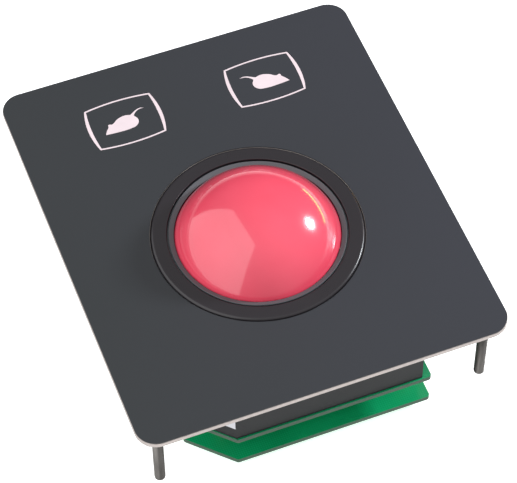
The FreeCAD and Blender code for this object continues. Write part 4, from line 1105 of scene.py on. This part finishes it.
def make_tracks():
    tracks = []
    for i, pin in enumerate(PINS_HOST):
        tracks.append((bend(pin, 24, 10.5 + 1.3 * i, 12.0), 0.5))
    for i in range(6):
        tracks.append((bend((-11.4 + 3.2 * i, -36), -31, -21 + 1.3 * i, 10.0), 0.4))
        level, shelf = PINS_LINK[i][1], 3.0 + 1.1 * i
        turn_x = 24 - 0.4 * i
        far = turn_x - (shelf - level)
        tracks.append(([PINS_LINK[i], (turn_x, level), (far, shelf), (-3 - 1.2 * i, shelf)], 0.4))
    for i, (x, y) in enumerate(PINS_CAPACITOR[1::2]):
        tracks.append((bend((x, y), -34 + 4 * i, 22 - 4 * i, -14.0), 1.1))
    tracks.append(([PINS_CRYSTAL[0], (-10, 22), (-12, 20)], 0.4))
    tracks.append(([PINS_CRYSTAL[1], (-2.06, 24.6), (-12, 24.6), (-13.5, 23.1)], 0.4))
    tracks.append(([(-29, 20), (-29, -20), (-24, -25), (-24, -34)], 1.1))
    vias = [points[-1] for points, _ in tracks] + [(-11.4 + 3.2 * i, -36) for i in range(6)]
    vias += [(-29, 20), (-25, 4), (-25, -6), (12, -4), (8, -14), (27, -18), (-6, 30)]
    bm = bmesh.new()
    for points, width in tracks:
        add_track(bm, points, width, UNDER, -COPPER)
    rim = [(0, 34.3), (33.1, 34.3), (33.1, -39.9), (22.3, -50.7), (-22.3, -50.7), (-33.1, -39.9)]
    add_track(bm, rim + [(-33.1, 34.3), (0, 34.3)], 1.1, UNDER, -COPPER)
    for x, y in vias:
        add_disc(bm, x, y, 0.45, UNDER, -1.4 * COPPER, 12)
    close_shell(bm)
    finished("copper_tracks", bm, track_mask, body="module", smooth=0)
    print("tracks:", len(tracks) + 1, "vias:", len(vias))


def add_solder(bm, x, y, radius, height):
    """A soldered pin under the board: a hollow cone of solder with the cut pin in its middle."""
    shape = [(1, 0.04), (0.72, 0.16), (0.5, 0.42), (0.42, 0.75), (0.30, 0.86), (0.28, 1), (0, 1)]
    profile = [(radius * r * MM, UNDER - height * rise * MM) for r, rise in shape]
    lathe(bm, profile, SOLDER_STEPS, Vector((x * MM, y * MM, 0)), closed=False)


def make_solder():
    bm = bmesh.new()
    for pins, radius, height in (
        (PINS_HOST, 0.95, 1.3),
        (PINS_LINK, 0.85, 1.2),
        (PINS_CAPACITOR, 0.8, 1.1),
        (PINS_CRYSTAL, 0.75, 1.0),
    ):
        for x, y in pins:
            add_solder(bm, x, y, radius, height)
            add_disc(bm, x, y, radius * 1.12, UNDER, -1.2 * COPPER, SOLDER_STEPS)
    close_shell(bm)
    piece = finished("solder_joints", bm, solder, body="module", smooth=50)
    print("solder joints:", len(piece.data.polygons), "faces")


make_tracks()
make_solder()

# %% [markdown]
# The controller is a square chip whose leads curl under it, and the driver is a slim one whose
# leads spread like wings. Both bodies are pressed in two halves, so their sides lean a little both
# ways from the middle. The leads are the second material.

# %% Chips

LEAD_PITCH, LEAD_WIDTH, LEAD_THICKNESS = 1.27 * MM, 0.48 * MM, 0.16 * MM
DRAFT, CHIP_EDGE = 0.96, 0.12 * MM
SPOT_RADIUS, SPOT_RISE = 0.45, 0.01 * MM


def add_body(bm, low, high):
    """A moulded block that is widest at half its height."""
    verts = bmesh.ops.create_cube(bm, size=1)["verts"]
    bmesh.ops.scale(bm, verts=verts, vec=high - low)
    geom = verts + list({e for v in verts for e in v.link_edges})
    geom += list({f for v in verts for f in v.link_faces})
    bmesh.ops.bisect_plane(bm, geom=geom, plane_co=(0, 0, 0), plane_no=Z, dist=1e-7)
    for side in (1, -1):
        flat = [v for v in bm.verts if v.co.z * side > 1e-6]
        bmesh.ops.scale(bm, verts=flat, vec=(DRAFT, DRAFT, 1))
    bmesh.ops.translate(bm, verts=bm.verts, vec=(low + high) / 2)
    soften(bm, CHIP_EDGE)


def add_leads(bm, centre, half, count, shape, side_turns):
    """Rows of leads. shape gives (out from the body's side, height over the deck) in millimetres."""
    for quarter in side_turns:
        turn = Matrix.Rotation(quarter * math.pi / 2, 3, "Z")
        for i in range(count):
            slide = (i - (count - 1) / 2) * LEAD_PITCH
            reach = half[quarter % 2]
            path = [Vector((reach + out * MM, slide, DECK + rise * MM)) for out, rise in shape]
            path = [turn @ point + centre for point in path]
            add_lead(bm, path, turn @ Y, LEAD_WIDTH, LEAD_THICKNESS)


def make_chip(node, name, body_low, body_high, count, shape, turns):
    bm = bmesh.new()
    add_body(bm, body_low, body_high)
    leads_from = len(bm.faces)
    centre = (body_low + body_high) / 2
    half = (body_high - body_low) / 2
    add_leads(bm, Vector((centre.x, centre.y, 0)), half, count, shape, turns)
    bm.faces.ensure_lookup_table()
    for face in bm.faces[leads_from:]:
        face.material_index = 1
    spot_x, spot_y = (centre.x - half.x * 0.75) / MM, (centre.y + half.y * 0.6) / MM
    add_disc(bm, spot_x, spot_y, SPOT_RADIUS, body_high.z, SPOT_RISE, 20)
    piece = finished(name, bm, chip_plastic, node, extra=[solder])
    print(name, count * len(turns), "leads,", len(piece.data.polygons), "faces")


def make_chips():
    low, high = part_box("controller_chip")
    edge = Vector((0.45, 0.45, 0)) * MM
    j_lead = [(-0.3, 1.9), (0.36, 1.9), (0.44, 1.8), (0.44, 0.5), (0.2, 0.18), (-0.6, 0.14)]
    body_low = low + edge + Z * 0.5 * MM
    make_chip("controller_chip", "controller_square_chip", body_low, high - edge, 7, j_lead, range(4))
    low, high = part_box("driver_chip")
    wing = [(-0.2, 0.85), (0.25, 0.85), (0.5, 0.2), (0.6, 0.1), (1.05, 0.1)]
    body_low = low + Z * 0.12 * MM
    make_chip("driver_chip", "driver_slim_chip", body_low, high, 7, wing, (1, 3))


make_chips()

# %% [markdown]
# The crystal sits in a pressed can with a rolled flange. Its outline is a box whose upright edges
# are rounded with almost half its width, which a bevel does in one step.

# %% Crystal


def add_stadium(bm, low, high, top_edge):
    """A block with half-round ends and a rounded top edge."""
    start = set(bm.verts)
    verts = bmesh.ops.create_cube(bm, size=1)["verts"]
    bmesh.ops.scale(bm, verts=verts, vec=high - low)
    bmesh.ops.translate(bm, verts=verts, vec=(low + high) / 2)
    edges = {e for v in verts for e in v.link_edges}
    upright = [e for e in edges if abs(e.verts[0].co.z - e.verts[1].co.z) > 1e-6]
    settings = {"affect": "EDGES", "profile": 0.5, "material": -1, "clamp_overlap": True}
    reach = (high.y - low.y) * 0.495
    bmesh.ops.bevel(bm, geom=upright, offset=reach, offset_type="OFFSET", segments=12, **settings)
    fresh = [v for v in bm.verts if v not in start]
    lids = [e for v in fresh for e in v.link_edges]
    lids = [e for e in set(lids) if all(abs(v.co.z - high.z) < 1e-7 for v in e.verts)]
    bmesh.ops.bevel(bm, geom=lids, offset=top_edge, offset_type="OFFSET", segments=4, **settings)


def make_crystal():
    low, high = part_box("crystal")
    rim = Vector((0.4, 0.4, 0)) * MM
    bm = bmesh.new()
    add_stadium(bm, low, Vector((high.x, high.y, low.z + 0.45 * MM)), 0.12 * MM)
    add_stadium(bm, low + rim + Z * 0.3 * MM, high - rim, 0.45 * MM)
    finished("crystal_can", bm, can_metal, "crystal")
    print("crystal:", round((high.x - low.x) / MM, 1), "mm long")


make_crystal()

# %% [markdown]
# An electrolytic capacitor is a can in a shrunk sleeve. The sleeve rolls over the rim and leaves
# the bare top showing, and a groove near the foot holds the rubber plug. The pale stripe that marks
# the negative lead is the faces on one side.

# %% Capacitors

GROOVE_FROM, GROOVE_TO = 0.9 * MM, 1.6 * MM
CAN_EDGE, LID_DROP, LID_SHARE = 0.3 * MM, 0.12 * MM, 0.77


def make_capacitors():
    bm = bmesh.new()
    for low, high in islands("capacitors"):
        centre, radius = (low + high) / 2, (high.x - low.x) / 2
        axis = Vector((centre.x, centre.y, 0))
        tall = high.z - low.z
        lid = high.z - LID_DROP
        profile = [
            (0, low.z),
            (radius * 0.9, low.z),
            (radius, low.z + 0.2 * MM),
            (radius, low.z + GROOVE_FROM),
            (radius * 0.9, low.z + (GROOVE_FROM + GROOVE_TO) / 2),
            (radius, low.z + GROOVE_TO),
            *arc((radius - CAN_EDGE, high.z - CAN_EDGE), CAN_EDGE, 0, 90, 5),
            (radius * 0.78, high.z - 0.02 * MM),
            (radius * LID_SHARE, lid),
            (0, lid),
        ]
        lathe(bm, profile, 48, axis, closed=False)
        for face in bm.faces:
            out = face.calc_center_median() - centre
            if out.xy.length > radius * 1.1:
                continue
            if out.xy.length < radius * LID_SHARE and out.z > 0:
                face.material_index = 1
            elif out.x < -radius * 0.8 and abs(out.z) < tall * 0.4:
                face.material_index = 2
    close_shell(bm)
    finished("capacitor_cans", bm, sleeve, "capacitors", extra=[can_metal, label_paper])


make_capacitors()

# %% [markdown]
# Chip resistors are a row of the same three blocks: a dark film between two soldered ends. Blocks
# with bevelled edges also make the board link and the ribbon's slider, so they get a helper.

# %% Chip resistors

CAP_LENGTH = 0.35 * MM


def add_block(bm, low, high, edge=0.0, index=0):
    """A box between two corners, with its edges bevelled."""
    old_faces = set(bm.faces)
    verts = bmesh.ops.create_cube(bm, size=1)["verts"]
    bmesh.ops.scale(bm, verts=verts, vec=Vector(high) - Vector(low))
    bmesh.ops.translate(bm, verts=verts, vec=(Vector(high) + Vector(low)) / 2)
    if edge:
        bmesh.ops.bevel(
            bm,
            geom=list({e for v in verts for e in v.link_edges}),
            offset=edge,
            offset_type="OFFSET",
            affect="EDGES",
            segments=2,
            profile=0.5,
            material=-1,
        )
    for face in set(bm.faces) - old_faces:
        face.material_index = index


def make_resistors():
    bm = bmesh.new()
    for low, high in islands("chip_resistors"):
        inset = Vector((0.04, 0, 0.04)) * MM
        add_block(bm, low + CAP_LENGTH * Y + inset.x * X, high - CAP_LENGTH * Y - inset, 0.03 * MM)
        add_block(bm, low, Vector((high.x, low.y + CAP_LENGTH, high.z)), 0.06 * MM, 1)
        add_block(bm, Vector((low.x, high.y - CAP_LENGTH, low.z)), high, 0.06 * MM, 1)
    piece = finished("resistor_row", bm, chip_plastic, "chip_resistors", extra=[solder])
    print("resistors:", len(piece.data.polygons), "faces")


make_resistors()

# %% [markdown]
# The board link is a pin header in a socket. Both are moulded as a row of joined cells with a notch
# between each two, and the socket stands on the header with a thin line of gold pins between.

# %% Board link

LINK_CELLS = 6
HEADER_HEIGHT, LINK_GAP = 2.5 * MM, 0.35 * MM
PIN_HALF = 0.32 * MM


def make_link():
    low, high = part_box("board_link")
    pitch = (high.y - low.y) / LINK_CELLS
    header_top = low.z + HEADER_HEIGHT
    socket_foot = header_top + LINK_GAP
    bm = bmesh.new()
    for i in range(LINK_CELLS):
        start, end = low.y + pitch * i, low.y + pitch * (i + 1)
        add_block(bm, (low.x, start, low.z), (high.x, end, header_top), 0.35 * MM)
        add_block(bm, (low.x, start, socket_foot), (high.x, end, high.z), 0.22 * MM)
        y = (start + end) / 2
        for x in (row * MM for row in LINK_ROWS):
            near = (x - PIN_HALF, y - PIN_HALF, header_top - LINK_GAP)
            far = (x + PIN_HALF, y + PIN_HALF, socket_foot + LINK_GAP)
            add_block(bm, near, far, 0, 1)
    finished("board_header", bm, chip_plastic, "board_link", extra=[pin_gold])
    print("board link:", LINK_CELLS, "cells")


make_link()

# %% [markdown]
# The ribbon socket keeps its CAD body. It gains a dark slider that clamps the ribbon, with an ear
# at each end to pull it by, and a row of contact tails on the board.

# %% Ribbon socket

SLIDER_FOOT, SLIDER_TOP, SLIDER_DEPTH = DECK + 0.5 * MM, DECK + 1.9 * MM, 1.1 * MM
EAR_INSET, EAR_REACH = 0.2 * MM, 1.6 * MM
TAIL = [(0.2, 0.6), (-0.35, 0.6), (-0.5, 0.12), (-1.1, 0.12)]


def make_ribbon_socket():
    refined("ribbon_connector", nylon, 0.12 * MM, name="ribbon_socket")
    low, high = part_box("ribbon_connector")
    bm = bmesh.new()
    near, far = high.y, high.y + SLIDER_DEPTH
    add_block(bm, (low.x + MM, near, SLIDER_FOOT), (high.x - MM, far, SLIDER_TOP), 0.12 * MM)
    for x in (low.x, high.x - MM):
        ear_low = (x, near - EAR_REACH, SLIDER_FOOT + EAR_INSET)
        add_block(bm, ear_low, (x + MM, far, SLIDER_TOP - EAR_INSET), 0.12 * MM)
    finished("ribbon_slider", bm, chip_plastic, body="module")
    bm = bmesh.new()
    ribbon_low, ribbon_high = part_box("key_ribbon")
    ways = round((ribbon_high.x - ribbon_low.x) / MM)
    for i in range(ways):
        x = ribbon_low.x + (i + 0.5) * MM
        path = [Vector((x, low.y + y * MM, DECK + z * MM)) for y, z in TAIL]
        add_lead(bm, path, X, 0.4 * MM, 0.12 * MM)
        add_track(bm, [(x / MM, low.y / MM - 1.5), (x / MM, low.y / MM - 0.5)], 0.55, DECK, COPPER)
    close_shell(bm)
    finished("ribbon_contacts", bm, solder, body="module", smooth=0)
    print("ribbon contacts:", ways)


make_ribbon_socket()

# %% [markdown]
# The keys' ribbon is clear film with silver tracks printed on it, a millimetre apart. A fraction of
# the X coordinate makes the stripes, and the same stripe sets colour, metal and gloss.

# %% Ribbon and its finish


def make_ribbon_film():
    ribbon = Finish("ribbon_film", (0.55, 0.55, 0.52), 0.3)
    across = ribbon.add("SeparateXYZ", inputs={"Vector": ribbon.add("TexCoord", output="Object")})
    ways = across * (1 / MM)
    phase = ways.maths("FRACT", ways)
    stripe = (phase > 0.2) * (phase < 0.8)
    grain = ribbon.noise(1500, 2.0)
    ribbon.set(
        Base_Color=ribbon.mix(stripe, (0.58, 0.52, 0.36), (0.62, 0.62, 0.60)),
        Metallic=stripe * 0.8,
        Roughness=grain * 0.12 + stripe * 0.08 + 0.18,
    )
    return ribbon.bump(stripe, 2e-5)


ribbon_film = make_ribbon_film()
ribbon = finished("key_flat_ribbon", copied("key_ribbon"), ribbon_film, "key_ribbon", smooth=40)
print("ribbon:", len(ribbon.data.polygons), "faces")

# %% [markdown]
# The screws are pan heads with a cross recess. The head is turned on the lathe, and two tapered
# bars are cut out of it with a boolean, once for each size. Copies of that mesh go to each screw.

# %% Screws

BOARD_HEAD, CUP_HEAD = 2.0 * MM, 1.3 * MM
RECESS_TURN = math.radians(22)


def cut(thing_bm, tool_bm):
    """The first mesh less the second, as a new mesh."""
    things = []
    for name, bm in (("blank", thing_bm), ("punch", tool_bm)):
        close_shell(bm)
        mesh = bpy.data.meshes.new(name)
        bm.to_mesh(mesh)
        bm.free()
        things.append(bpy.data.objects.new(name, mesh))
        bpy.context.scene.collection.objects.link(things[-1])
    blank, punch = things
    boolean = blank.modifiers.new("recess", "BOOLEAN")
    boolean.object, boolean.operation, boolean.solver = punch, "DIFFERENCE", "EXACT"
    boolean.use_self = True
    bpy.context.view_layer.update()
    mesh = bpy.data.meshes.new_from_object(blank.evaluated_get(bpy.context.evaluated_depsgraph_get()))
    for thing in things:
        bpy.data.objects.remove(thing)
    return mesh


def screw_mesh(head_radius, head_height, shank_radius, length):
    """A screw that stands on its head, with the head's crown at zero."""
    crown = 0.35 * head_height
    profile = [
        (0, 0),
        (head_radius * 0.55, crown * 0.12),
        (head_radius * 0.82, crown * 0.45),
        (head_radius * 0.96, crown),
        (head_radius, crown * 1.5),
        (head_radius, head_height * 0.94),
        (head_radius * 0.97, head_height),
        (shank_radius, head_height),
        (shank_radius, length - 0.3 * MM),
        (shank_radius * 0.8, length),
        (0, length),
    ]
    blank, punch = bmesh.new(), bmesh.new()
    lathe(blank, profile, 48, closed=False)
    for turn in (0, math.pi / 2):
        verts = bmesh.ops.create_cube(punch, size=1)["verts"]
        size = (head_radius * 1.15, head_radius * 0.22, head_height * 1.3)
        bmesh.ops.scale(punch, verts=verts, vec=size)
        deep = [v for v in verts if v.co.z > 0]
        bmesh.ops.scale(punch, verts=deep, vec=(0.35, 0.7, 1))
        matrix = Matrix.Rotation(turn + RECESS_TURN, 3, "Z")
        bmesh.ops.rotate(punch, verts=verts, matrix=matrix)
    return cut(blank, punch)


def make_screws(node, name, head_height):
    boxes = islands(node)
    low, high = boxes[0]
    head_radius = (high.x - low.x) / 2
    mesh = screw_mesh(head_radius, head_height, head_radius * 0.55, high.z - low.z)
    bm = bmesh.new()
    for low, high in boxes:
        start = set(bm.verts)
        bm.from_mesh(mesh)
        centre = (low + high) / 2
        fresh = [v for v in bm.verts if v not in start]
        bmesh.ops.translate(bm, verts=fresh, vec=(centre.x, centre.y, low.z))
    piece = finished(name, bm, zinc_steel, node, smooth=40)
    print(name, len(boxes), "screws,", len(piece.data.polygons), "faces")


make_screws("board_screws", "board_pan_screws", BOARD_HEAD)
make_screws("cup_screws", "cup_pan_screws", CUP_HEAD)
